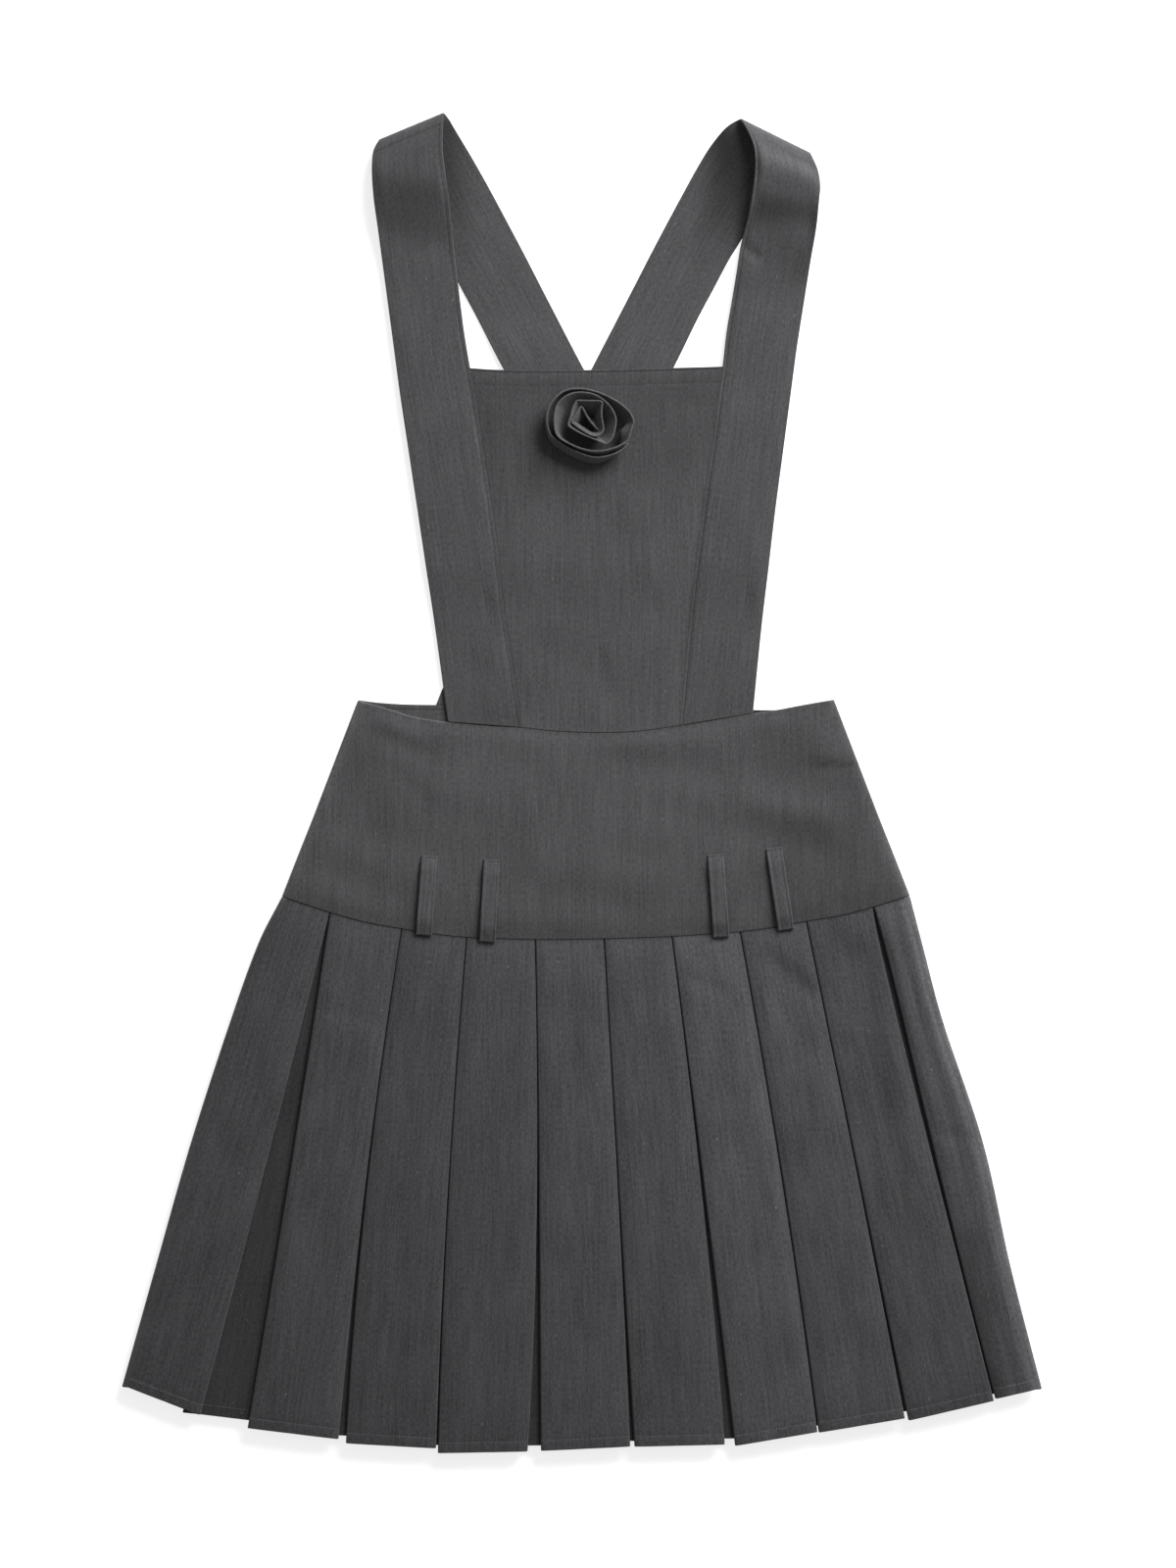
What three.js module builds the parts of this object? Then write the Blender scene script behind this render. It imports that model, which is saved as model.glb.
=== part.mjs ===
// Pinafore dress laid flat with its front up. Sizes are in millimetres, the surface it
// lies on is z = 0, the straps point to +Y and the hem to -Y.
import * as THREE from "three";

// Cloth, and how its layers lie on each other
const clothWall = 1.2;
const seamGap = 0.3;
const layerPitch = clothWall + seamGap;
const halfWall = clothWall / 2;
const halfGap = seamGap / 2;

// Heights of the lower face of each layer
const backLayerZ = 0;
const frontWaistZ = 2;
const bibOverCrossingZ = 3.5;
const skirtFaceZ = 5 * layerPitch;

// Heights up the bib between which it rises over the crossing back straps
const bibRiseStartY = 110;
const bibRiseLength = 40;

// Stretch over which the upper back strap is lifted in the crossing
const crossingLowY = 112;
const crossingHighY = 322;
const crossingLowRise = 40;
const crossingHighRise = 34;

// Shoulder loops: how far before the tip the strap starts to rise and has its crest, the
// height of each crest, and the radius of the bend under each tip
const loopRiseBeforeTip = 85;
const loopCrestBeforeTip = 33;
const leftCrestZ = 10.5;
const rightCrestZ = 14;
const leftTipRadius = 2.2;
const rightTipRadius = 3.4;
const loopReturnLength = 40;
const shoulderSeamBeforeTip = 8;
const strapsPartY = 250;

// Heights at which the ends of the bib's and straps' edges are read
const bibTopMiddleY = 281;
const bibFootY = 38;
const strapFootY = 42;
const backStrapFootY = 52;
const bibSeamEndY = 300;
const bibSeamFade = 20;

// Pleats
const returnShare = 0.45;
const firstReturnShare = 0.22;
const leastPleatGap = 0.8;
const backHemShorter = 8;

// Belt loops
const loopWidth = 11;
const loopWall = 1.6;
const loopArch = 2.6;
const loopLanding = 0.2;

// Rose of rolled cloth
const roseCentre = { x: 4.3, y: 243.9 };
const roseHeight = 13;
const roseLean = { x: -1, y: -5.2 };
const roseBaseShare = 0.93;
const roseCoreHeight = 0.82;
const roseCoreEnd = 0.12;
const roseRimHeight = 0.8;
const roseRimStart = 0.45;
const roseRimEnd = 0.85;

// Rows and columns of the grids that the pieces are made of
const bibRows = 19;
const bibColumns = 13;
const strapColumns = 5;
const strapFrontRows = 15;
const strapBackRows = 17;
const loopRiseSteps = 8;
const loopBendSteps = 9;
const loopTipSteps = 4;
const loopFlatSteps = 4;
const leastRowStep = 1;
const yokeRows = 9;
const yokeColumns = 41;
const skirtRows = 9;
const facePoints = [0.25, 0.5, 0.75];
const beltLoopRows = 15;
const roseLevels = [0, 0.3, 0.62, 0.86, 1];

function table(columns, rows) {
  return rows.map((row) => Object.fromEntries(columns.map((name, k) => [name, row[k]])));
}

// Widths and heights of the garment's outline, from the front waist to the hem
const frontWaistEdge = table(["x", "y"], [
  [-152.3, 55.3], [-142.3, 52.7], [-129, 48.9], [-115.7, 44.7], [-91, 40.7], [-62.3, 38],
  [-39.7, 36.7], [-22.3, 34.7], [11, 33.3], [37.7, 34.3], [65.7, 38], [91, 42], [117, 46.7],
  [131, 48.7], [155.7, 53.3], [171.7, 56],
]);
const backWaistEdge = table(["x", "y"], [
  [-152.3, 55.7], [-138.3, 54], [-115.7, 52.7], [-39.7, 52.3], [11, 51.3], [71, 50.3],
  [132.3, 49], [151, 51.2], [171.7, 55.4],
]);
const hipSeam = table(["x", "y"], [
  [-203.7, -78], [-171, -88.7], [-147, -95.3], [-122.3, -99.7], [-101, -103.1], [-81, -105.3],
  [-31.7, -107], [15, -106.5], [61, -104.9], [107.3, -101.7], [133, -98.3], [152.3, -94.7],
  [177.7, -90.4], [197.7, -85.1], [223, -77.3],
]);
const yokeSides = { waistLeft: -152.3, waistRight: 171.7, hipLeft: -203.7, hipRight: 223 };
const yokeSlopeLength = 62;

// Skirt sides: x at shares of the way from the hip seam to the hem, and the hem's height there
const skirtSideLeft = table(["share", "x"], [
  [0, -203.7], [0.09, -219], [0.25, -238.3], [0.5, -265.3], [0.75, -289], [1, -312.3],
]);
const skirtSideRight = table(["share", "x"], [
  [0, 223], [0.1, 231.7], [0.25, 245], [0.5, 272.7], [0.75, 291.3], [1, 312.7],
]);
const sideHemY = { left: -410.7, right: -412.2 };

// Lines where two box pleats of the front meet, left to right: x at the hip seam, halfway and
// at the hem, how far the boxes part at the hem and halfway, how late they part, the heights
// of the two hem corners, and how much shorter the underlay is at each of its inner folds
const pleatColumns = [
  "seamX", "midX", "hemX", "hemGap", "midGap", "lateness",
  "leftHemY", "rightHemY", "leftShorter", "rightShorter",
];
const frontPleatLines = table(pleatColumns, [
  [-171, -206, -242.7, 31.9, 0, 1, -429.1, -438.5, 1, 1.9],
  [-122.3, -146.3, -162.5, 4.9, 0, 3, -445.7, -448.7, 3.4, 3.4],
  [-78.3, -90.7, -98.2, 1.1, 0, 3, -452, -455.3, 3.4, 3.4],
  [-31.7, -29.7, -32.2, 9, 0, 3, -454.2, -453.7, 3.4, 3.4],
  [15, 25, 34.4, 2.8, 0, 3, -450.9, -450.9, 3.4, 3.4],
  [61, 82.3, 100.6, 6.8, 0, 2, -449.5, -450.2, 3.4, 4.6],
  [107.3, 136.3, 160.4, 0.8, 0, 1, -441.2, -441.2, 3.4, 5],
  [152.3, 186.7, 220.5, 2.3, 0, 2, -431.9, -433, 3.4, 6.8],
  [197.7, 238.3, 280.2, 0.8, 3.2, 1, -420.1, -418.3, 3.4, 3.4],
]);

// The back is hidden: eight whole boxes and the two that come round from the front
const backBoxCount = 8;
const backSideBox = { left: 15, right: 21 };

// Bib centre: the seams to the straps and the finished top edge
const bibLeftSeam = table(["x", "y"], [
  [-75.7, 281.3], [-73, 268], [-67, 230], [-61, 189.3], [-57, 160.7], [-52.3, 118.7], [-39.7, 34],
]);
const bibRightSeam = table(["x", "y"], [
  [95.7, 282.3], [93, 263.3], [88.3, 227.3], [83.7, 198.7], [78.3, 158], [73.7, 118.7], [65.7, 34],
]);
const bibTopEdge = table(["x", "y"], [[-75.7, 281.3], [-53.7, 280], [4.3, 280], [95.7, 282.3]]);

// Front straps above the bib: outer and inner edge, from the waist to the shoulder
const leftOuterEdge = table(["x", "y"], [
  [-90, 34], [-99.7, 105.3], [-105.7, 145.3], [-111.7, 185.3], [-117.7, 225.3], [-123.7, 265.3],
  [-127.7, 295.3], [-131.7, 325.3], [-135.7, 355.3], [-138.3, 375.3], [-141, 395.3],
  [-142.3, 413], [-141.9, 425.3], [-140.5, 431], [-137, 437],
]);
const leftInnerEdge = table(["x", "y"], [
  [-39.7, 34], [-52.3, 118.7], [-57, 160.7], [-61, 189.3], [-67, 230], [-73, 268], [-75.7, 281.3],
  [-79.7, 305.3], [-82.3, 325.3], [-86.5, 360], [-89.7, 392], [-92.3, 412], [-94.3, 430.7],
  [-93.7, 455],
]);
const rightOuterEdge = table(["x", "y"], [
  [115.2, 34], [122.3, 105.3], [127, 145.3], [131.7, 185.3], [137, 225.3], [142.3, 265.3],
  [146.3, 295.3], [151, 325.3], [155.7, 355.3], [159, 375.3], [161, 395.3], [161.7, 404],
  [160, 415.3], [155, 427.3],
]);
const rightInnerEdge = table(["x", "y"], [
  [65.7, 34], [73.7, 118.7], [78.3, 158], [83.7, 198.7], [88.3, 227.3], [93, 263.3], [95.7, 282.3],
  [98.3, 305.3], [101.7, 325.3], [105, 345.3], [108.2, 365.3], [113.2, 385.3], [116.5, 405.3],
  [117.7, 420], [116.3, 432], [112.3, 442], [107.7, 450.7],
]);

// Back straps, from the shoulder down to the back waist: upper and lower edge of each
const leftBackUpper = table(["x", "y"], [
  [-93.7, 455], [-91, 452], [-87, 445.3], [-81, 435.3], [-75, 425.3], [-63.7, 405.3],
  [-42.3, 365.3], [-21.7, 325.3], [-1, 285.3], [32.3, 224], [76.7, 130], [111.6, 52],
]);
const leftBackLower = table(["x", "y"], [
  [-137, 437], [-129.5, 423], [-114.3, 396], [-99.3, 368], [-81.7, 335.3], [-71, 315.3],
  [-55.7, 285.3], [-22.3, 224], [24.5, 130], [59.5, 52],
]);
const rightBackUpper = table(["x", "y"], [
  [107.7, 450.7], [103.5, 449], [97.7, 444.8], [89.7, 435.3], [83, 425.3], [71.7, 405.3],
  [50.3, 365.3], [29.7, 325.3], [9, 285.3], [-22.3, 224], [-63, 130], [-94, 65], [-99.3, 52],
]);
const rightBackLower = table(["x", "y"], [
  [155, 427.3], [144, 416], [125.5, 395], [107.5, 367], [100.3, 355.3], [89.7, 335.3],
  [79, 315.3], [64.3, 285.3], [32.3, 224], [-11.5, 130], [-46, 52],
]);

// Shoulder fold lines: the ends of the tip, outer then inner
const leftFold = { outer: { x: -137, y: 437 }, inner: { x: -93.7, y: 455 } };
const rightFold = { outer: { x: 155, y: 427.3 }, inner: { x: 107.7, y: 450.7 } };

// Belt loops of the front: middle of the top end and of the lower end
const beltLoops = table(["topX", "topY", "lowX", "lowY"], [
  [-103.2, -50, -106.9, -103.8],
  [-61, -52.7, -64, -108.4],
  [90.8, -49.1, 94.7, -105.2],
  [130.5, -44.7, 138.6, -100.2],
]);

// Rim of the rose's rolled strip about its centre, corner by corner from the middle outwards
const roseRim = table(["x", "y"], [
  [8.1, -7], [3.7, -2.6], [-0.4, 3], [-3.3, 8.5], [-5, 10.4], [-7.4, 7], [-9.6, 3],
  [-11.3, -0.2], [-8.9, -2.6], [-4.8, -5.6], [0.4, -8.7], [4.8, -10.2], [8.7, -8.9],
  [10.7, -5.6], [10.1, -0.4], [9.4, 4.8], [9.6, 10], [9.9, 12.8], [7.8, 14.1], [0.4, 14.4],
  [-7, 14.5], [-8.5, 13.3], [-10.7, 8.9], [-12.4, 2.6], [-13.7, -2.2], [-11.1, -4.8],
  [-4.8, -8.4], [1.9, -11.3], [7.8, -13.7], [12.2, -15.4], [14.4, -14.4], [16.8, -11.1],
  [18.5, -5.6], [19.3, 0.4], [18.3, 5.2], [15.2, 10.4], [10.7, 14.8], [4.8, 18.4],
  [-1.9, 19.9], [-8.5, 19.8], [-13, 18.5], [-16.8, 16.3], [-20.7, 12.2], [-22.7, 6.3],
  [-23.2, 0.4], [-22.2, -7], [-18.9, -11.5], [-12.2, -15.2], [-4.8, -18.1], [3.3, -19.8],
  [10.7, -19.5], [19.6, -17], [26.3, -13.3], [28.5, -8.5], [30.4, -2.6], [31.1, 0.7],
  [28.5, 6.3], [22.6, 11.9], [15.2, 16.3], [7.8, 19.6], [1.8, 21.4], [-4.8, 22.4],
  [-11.5, 22.2], [-17.2, 20.2], [-22.5, 15.8], [-26, 10.7], [-27.5, 5.6], [-27.5, -1.1],
  [-25.8, -7], [-23.6, -10.2], [-16.7, -15], [-10.7, -18.4], [-3.3, -21.6], [4.1, -23.6],
  [10.7, -23.3], [18.1, -21.4], [24.1, -18], [27.9, -14.2],
]);

function lerp(a, b, t) {
  return a + (b - a) * t;
}

function smooth(t) {
  const u = Math.min(1, Math.max(0, t));
  return u * u * (3 - 2 * u);
}

// Smooth curve through the rows of a table, read off at one column's value
function curve(rows, from, to) {
  const sorted = [...rows].sort((a, b) => a[from] - b[from]);
  const last = sorted.length - 1;
  const slopeAt = (k) => {
    const a = sorted[Math.max(0, k - 1)];
    const b = sorted[Math.min(last, k + 1)];
    return (b[to] - a[to]) / (b[from] - a[from]);
  };
  return (value) => {
    let k = 0;
    while (k < last - 1 && value > sorted[k + 1][from]) k += 1;
    const a = sorted[k];
    const b = sorted[k + 1];
    const span = b[from] - a[from];
    const t = Math.min(1, Math.max(0, (value - a[from]) / span));
    const climb = b[to] - a[to];
    const startBend = slopeAt(k) * span - climb;
    const endBend = climb - slopeAt(k + 1) * span;
    return lerp(a[to], b[to], t) + t * (1 - t) * ((1 - t) * startBend + t * endBend);
  };
}

const waistFrontY = curve(frontWaistEdge, "x", "y");
const waistBackY = curve(backWaistEdge, "x", "y");
const hipSeamY = curve(hipSeam, "x", "y");
const bibLeftX = curve(bibLeftSeam, "y", "x");
const bibRightX = curve(bibRightSeam, "y", "x");
const bibTopY = curve(bibTopEdge, "x", "y");
const leftSideX = curve(skirtSideLeft, "share", "x");
const rightSideX = curve(skirtSideRight, "share", "x");

// Lower face of the bib and front straps: low at the waist, lifted over the crossing straps
function bibZ(y) {
  return lerp(frontWaistZ, bibOverCrossingZ, smooth((y - bibRiseStartY) / bibRiseLength));
}

// Lower face of the strap that lies on top in the crossing
function upperStrapZ(y) {
  const fromLow = smooth((y - crossingLowY) / crossingLowRise);
  const fromHigh = smooth((crossingHighY - y) / crossingHighRise);
  return backLayerZ + layerPitch * Math.min(fromLow, fromHigh);
}

// Lower face of the front yoke, which climbs on to the pleats near the hip seam
function yokeZ(x, y) {
  const aboveSeam = y - hipSeamY(x);
  return lerp(skirtFaceZ, frontWaistZ, smooth(aboveSeam / yokeSlopeLength));
}

// Closed mesh between two grids of points: rows of `under` and `over` have equal lengths
function clothMesh(name, under, over, colour) {
  const rows = under.length;
  const columns = under[0].length;
  const points = [...under.flat(), ...over.flat()];
  const low = (r, c) => r * columns + c;
  const high = (r, c) => rows * columns + r * columns + c;
  const faces = [];
  const quad = (a, b, c, d) => faces.push(a, b, c, a, c, d);
  for (let r = 0; r < rows - 1; r += 1) {
    for (let c = 0; c < columns - 1; c += 1) {
      quad(high(r, c), high(r, c + 1), high(r + 1, c + 1), high(r + 1, c));
      quad(low(r, c), low(r + 1, c), low(r + 1, c + 1), low(r, c + 1));
    }
    quad(low(r, 0), high(r, 0), high(r + 1, 0), low(r + 1, 0));
    quad(low(r, columns - 1), low(r + 1, columns - 1), high(r + 1, columns - 1), high(r, columns - 1));
  }
  for (let c = 0; c < columns - 1; c += 1) {
    quad(low(0, c), low(0, c + 1), high(0, c + 1), high(0, c));
    quad(low(rows - 1, c), high(rows - 1, c), high(rows - 1, c + 1), low(rows - 1, c + 1));
  }
  const geometry = new THREE.BufferGeometry();
  geometry.setAttribute("position", new THREE.Float32BufferAttribute(points.flat(), 3));
  geometry.setIndex(signedVolume(points, faces) > 0 ? faces : reversed(faces));
  geometry.computeVertexNormals();
  const material = new THREE.MeshStandardMaterial({ color: colour, roughness: 0.9 });
  const mesh = new THREE.Mesh(geometry, material);
  mesh.name = name;
  return mesh;
}

function signedVolume(points, faces) {
  let volume = 0;
  for (let k = 0; k < faces.length; k += 3) {
    const [a, b, c] = [points[faces[k]], points[faces[k + 1]], points[faces[k + 2]]];
    volume += a[0] * (b[1] * c[2] - b[2] * c[1]);
    volume += a[1] * (b[2] * c[0] - b[0] * c[2]);
    volume += a[2] * (b[0] * c[1] - b[1] * c[0]);
  }
  return volume;
}

function reversed(faces) {
  const turned = [];
  for (let k = 0; k < faces.length; k += 3) turned.push(faces[k], faces[k + 2], faces[k + 1]);
  return turned;
}

// Both faces of a wall whose middle follows a path of {x, z} corners, met by mitres
function wallOffsets(path) {
  const direction = (a, b) => {
    const length = Math.hypot(b.x - a.x, b.z - a.z);
    return { x: (b.x - a.x) / length, z: (b.z - a.z) / length };
  };
  return path.map((point, k) => {
    const last = path.length - 1;
    const before = direction(path[Math.max(0, k - 1)], path[Math.max(1, k)]);
    const after = direction(path[Math.min(last - 1, k)], path[Math.min(last, k + 1)]);
    const across = { x: -(before.z + after.z), z: before.x + after.x };
    const spread = halfWall / (across.z * before.x - across.x * before.z);
    return { x: across.x * spread, z: across.z * spread };
  });
}

// Wall built from rows of section corners {x, y, z}
function sectionWall(name, sections, colour) {
  const under = [];
  const over = [];
  for (const section of sections) {
    const offsets = wallOffsets(section);
    under.push(section.map((p, k) => [p.x - offsets[k].x, p.y, p.z - offsets[k].z]));
    over.push(section.map((p, k) => [p.x + offsets[k].x, p.y, p.z + offsets[k].z]));
  }
  return clothMesh(name, under, over, colour);
}

// Yoke: one panel across the hips, its sides turned towards the other layer
function yoke(name, waistY, middleZ, sideEdgeZ, colour) {
  const sections = [];
  for (let r = 0; r < yokeRows; r += 1) {
    const v = r / (yokeRows - 1);
    const left = lerp(yokeSides.waistLeft, yokeSides.hipLeft, v) + halfWall;
    const right = lerp(yokeSides.waistRight, yokeSides.hipRight, v) - halfWall;
    const at = (u, z) => {
      const topX = lerp(yokeSides.waistLeft, yokeSides.waistRight, u);
      const lowX = lerp(yokeSides.hipLeft, yokeSides.hipRight, u);
      return { x: lerp(left, right, u), y: lerp(waistY(topX), hipSeamY(lowX) + halfGap, v), z };
    };
    const section = [];
    for (let c = 0; c < yokeColumns; c += 1) section.push(at(c / (yokeColumns - 1), middleZ(v)));
    section.unshift(at(0, sideEdgeZ(v)));
    section.push(at(1, sideEdgeZ(v)));
    sections.push(section);
  }
  return sectionWall(name, sections, colour);
}

// Lower face of the front yoke at share v of the way from the waist to the hip seam
function yokeFrontZ(v) {
  const height = waistFrontY(0) - hipSeamY(0);
  return lerp(skirtFaceZ, frontWaistZ, smooth((height * (1 - v)) / yokeSlopeLength));
}

// Height at which the turned sides of the front and the back yoke meet
function sideMeetingZ(v) {
  return (yokeFrontZ(v) + clothWall) / 2;
}

function yokeFront(colour) {
  const middle = (v) => yokeFrontZ(v) + halfWall;
  const sideEdge = (v) => sideMeetingZ(v) + halfGap;
  return yoke("yoke_front", waistFrontY, middle, sideEdge, colour);
}

function yokeBack(colour) {
  const middle = () => backLayerZ + halfWall;
  const sideEdge = (v) => sideMeetingZ(v) - halfGap;
  return yoke("yoke_back", waistBackY, middle, sideEdge, colour);
}

// Value of a quantity that is known at the hip seam, halfway and at the hem
function throughThree(seam, mid, hem, v) {
  return seam * (1 - v) * (1 - 2 * v) + mid * 4 * v * (1 - v) + hem * v * (2 * v - 1);
}

function pleatGap(line, v) {
  const middle = Math.sin(Math.PI * v) ** 2;
  return leastPleatGap + (line.hemGap - leastPleatGap) * v ** line.lateness + line.midGap * middle;
}

// Where the boxes of one skirt side start and end at height v, left to right
function boxesAt(lines, v) {
  const edges = [{ x: leftSideX(v), hemY: sideHemY.left, seamX: leftSideX(0), shorter: 0 }];
  for (const line of lines) {
    const x = throughThree(line.seamX, line.midX, line.hemX, v);
    const half = Math.max(leastPleatGap, pleatGap(line, v)) / 2;
    const seamX = line.seamX;
    edges.push({ x: x - half, hemY: line.leftHemY, seamX, shorter: line.leftShorter });
    edges.push({ x: x + half, hemY: line.rightHemY, seamX, shorter: line.rightShorter });
  }
  edges.push({ x: rightSideX(v), hemY: sideHemY.right, seamX: rightSideX(0), shorter: 0 });
  const boxes = [];
  for (let k = 0; k < edges.length; k += 2) boxes.push({ left: edges[k], right: edges[k + 1] });
  return boxes;
}

// One section of the pleated skirt: face, return under the face, underlay to the next box
function pleatSection(lines, v, heights, hemTrim) {
  const boxes = boxesAt(lines, v);
  const place = (x, z, edge, underneath) => {
    const hemY = edge.hemY + hemTrim + (underneath ? edge.shorter : 0);
    const seamY = hipSeamY(edge.seamX + x - edge.x) - halfGap;
    return { x, y: lerp(seamY, hemY, v), z };
  };
  const section = [];
  boxes.forEach(({ left, right }, k) => {
    const first = k === 0;
    const last = k === boxes.length - 1;
    const width = right.x - left.x;
    const reach = width * (first ? firstReturnShare : returnShare);
    const leftX = left.x + halfWall;
    const rightX = right.x - halfWall;
    if (first) {
      section.push(place(leftX, heights.side, left, false));
    } else {
      section.push(place(left.x + reach, heights.underlay, left, true));
      section.push(place(left.x + reach, heights.turn, left, true));
      section.push(place(leftX, heights.turn, left, false));
    }
    section.push(place(leftX, heights.face, left, false));
    for (const u of facePoints) {
      section.push(place(lerp(leftX, rightX, u), heights.face, edgeBetween(left, right, u), false));
    }
    section.push(place(rightX, heights.face, right, false));
    if (last) {
      section.push(place(rightX, heights.side, right, false));
    } else {
      section.push(place(rightX, heights.turn, right, false));
      section.push(place(right.x - reach, heights.turn, right, true));
      section.push(place(right.x - reach, heights.underlay, right, true));
    }
  });
  return section;
}

function edgeBetween(left, right, u) {
  return {
    x: lerp(left.x, right.x, u),
    hemY: lerp(left.hemY, right.hemY, u),
    seamX: lerp(left.seamX, right.seamX, u),
  };
}

function skirt(name, lines, heights, hemTrim, colour) {
  const sections = [];
  for (let r = 0; r < skirtRows; r += 1) {
    sections.push(pleatSection(lines, r / (skirtRows - 1), heights, hemTrim));
  }
  return sectionWall(name, sections, colour);
}

function skirtFront(colour) {
  const heights = {
    face: skirtFaceZ + halfWall,
    turn: skirtFaceZ - layerPitch + halfWall,
    underlay: skirtFaceZ - 2 * layerPitch + halfWall,
    side: sideMeetingZ(1) + halfGap,
  };
  return skirt("skirt_front", frontPleatLines, heights, 0, colour);
}

// Lines of the back pleats, spread evenly between the two side boxes
function backPleatLines() {
  const corners = frontPleatLines.map((line) => ({ x: line.hemX, y: line.leftHemY }));
  corners.push({ x: leftSideX(1), y: sideHemY.left }, { x: rightSideX(1), y: sideHemY.right });
  const hemHeight = curve(corners, "x", "y");
  const width = rightSideX(0) - leftSideX(0);
  const step = (width - backSideBox.left - backSideBox.right) / backBoxCount;
  const lines = [];
  for (let k = 0; k <= backBoxCount; k += 1) {
    const share = (backSideBox.left + k * step) / width;
    const hemX = lerp(leftSideX(1), rightSideX(1), share);
    const hemY = hemHeight(hemX);
    lines.push({
      seamX: lerp(leftSideX(0), rightSideX(0), share),
      midX: lerp(leftSideX(0.5), rightSideX(0.5), share),
      hemX,
      hemGap: leastPleatGap,
      midGap: 0,
      lateness: 1,
      leftHemY: hemY,
      rightHemY: hemY,
      leftShorter: 0,
      rightShorter: 0,
    });
  }
  return lines;
}

function skirtBack(colour) {
  const heights = {
    face: halfWall,
    turn: layerPitch + halfWall,
    underlay: 2 * layerPitch + halfWall,
    side: sideMeetingZ(1) - halfGap,
  };
  return skirt("skirt_back", backPleatLines(), heights, backHemShorter, colour);
}

// Panel of the bib between its two seams
function bibCentre(colour) {
  const under = [];
  const over = [];
  for (let r = 0; r < bibRows; r += 1) {
    const v = r / (bibRows - 1);
    under.push([]);
    over.push([]);
    for (let c = 0; c < bibColumns; c += 1) {
      const u = c / (bibColumns - 1);
      const y = bibPointY(u, v);
      const x = lerp(bibLeftX(y) + halfGap, bibRightX(y) - halfGap, u);
      under[r].push([x, y, bibZ(y)]);
      over[r].push([x, y, bibZ(y) + clothWall]);
    }
  }
  return clothMesh("bib_centre", under, over, colour);
}

function bibPointY(u, v) {
  const topX = lerp(bibLeftX(bibTopMiddleY), bibRightX(bibTopMiddleY), u);
  const lowX = lerp(bibLeftX(bibFootY), bibRightX(bibFootY), u);
  return lerp(waistFrontY(lowX) + seamGap, bibTopY(topX), v);
}

const up = { b: 0, z: 1 };
const down = { b: 0, z: -1 };

// Axes of a shoulder fold: `along` runs from the outer to the inner end, `out` away from the body
function foldFrame(fold) {
  const dx = fold.inner.x - fold.outer.x;
  const dy = fold.inner.y - fold.outer.y;
  const length = Math.hypot(dx, dy);
  const along = { x: dx / length, y: dy / length };
  const turn = Math.sign(along.x);
  const out = { x: -along.y * turn, y: along.x * turn };
  const place = (a, b) => ({
    x: fold.inner.x + along.x * a + out.x * b,
    y: fold.inner.y + along.y * a + out.y * b,
  });
  const measure = (p) => ({
    a: (p.x - fold.inner.x) * along.x + (p.y - fold.inner.y) * along.y,
    b: (p.x - fold.inner.x) * out.x + (p.y - fold.inner.y) * out.y,
  });
  return { place, measure };
}

// Side view of the shoulder loop: the strap rises from the front layer to its crest, bends down
// to the tip and comes back on the surface. Each stop has b (towards the tip), z and the
// direction its outer face looks.
function loopProfile(strap) {
  const frontZ = bibOverCrossingZ + halfWall;
  const backZ = backLayerZ + halfWall;
  const tipZ = backZ + strap.tipRadius;
  const riseLength = loopRiseBeforeTip - loopCrestBeforeTip;
  const drop = strap.crestZ - tipZ;
  const stops = [];
  for (let k = 0; k <= loopRiseSteps; k += 1) {
    const t = k / loopRiseSteps;
    const slope = (6 * t * (1 - t) * (strap.crestZ - frontZ)) / riseLength;
    const steep = Math.hypot(1, slope);
    stops.push({
      b: -loopRiseBeforeTip + riseLength * t,
      z: lerp(frontZ, strap.crestZ, smooth(t)),
      facing: { b: -slope / steep, z: 1 / steep },
    });
  }
  for (let k = 1; k <= loopBendSteps; k += 1) {
    const angle = (Math.PI / 2) * (k / loopBendSteps);
    const facing = { b: Math.sin(angle) * drop, z: Math.cos(angle) * loopCrestBeforeTip };
    const length = Math.hypot(facing.b, facing.z);
    stops.push({
      b: -loopCrestBeforeTip * (1 - Math.sin(angle)),
      z: tipZ + drop * Math.cos(angle),
      facing: { b: facing.b / length, z: facing.z / length },
    });
  }
  for (let k = 1; k <= loopTipSteps; k += 1) {
    const angle = (Math.PI / 2) * (1 + k / loopTipSteps);
    stops.push({
      b: -strap.tipRadius * (1 - Math.sin(angle)),
      z: tipZ + strap.tipRadius * Math.cos(angle),
      facing: { b: Math.sin(angle), z: Math.cos(angle) },
    });
  }
  for (let k = 1; k <= loopFlatSteps; k += 1) {
    const share = k / loopFlatSteps;
    stops.push({ b: -strap.tipRadius - loopReturnLength * share, z: backZ, facing: down });
  }
  return stops;
}

// Where an edge, given as x by y, meets the line at distance b from the fold's tip
function edgeAtFoldDistance(edgeX, frame, b, lowY, highY) {
  let low = lowY;
  let high = highY;
  for (let step = 0; step < 40; step += 1) {
    const y = (low + high) / 2;
    if (frame.measure({ x: edgeX(y), y }).b < b) low = y;
    else high = y;
  }
  return { x: edgeX(low), y: low };
}

// All rows of one strap, from the front waist over the shoulder to the back waist
function strapRows(strap) {
  const frame = foldFrame(strap.fold);
  const edges = {
    outer: curve(strap.outer, "y", "x"),
    inner: curve(strap.inner, "y", "x"),
    lower: curve(strap.backLower, "y", "x"),
    upper: curve(strap.backUpper, "y", "x"),
  };
  const front = frontRows(strap, frame, edges);
  const loop = loopRows(strap, frame, edges);
  const back = backRows(loop[loop.length - 1], edges);
  return { front, loop, back };
}

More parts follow.
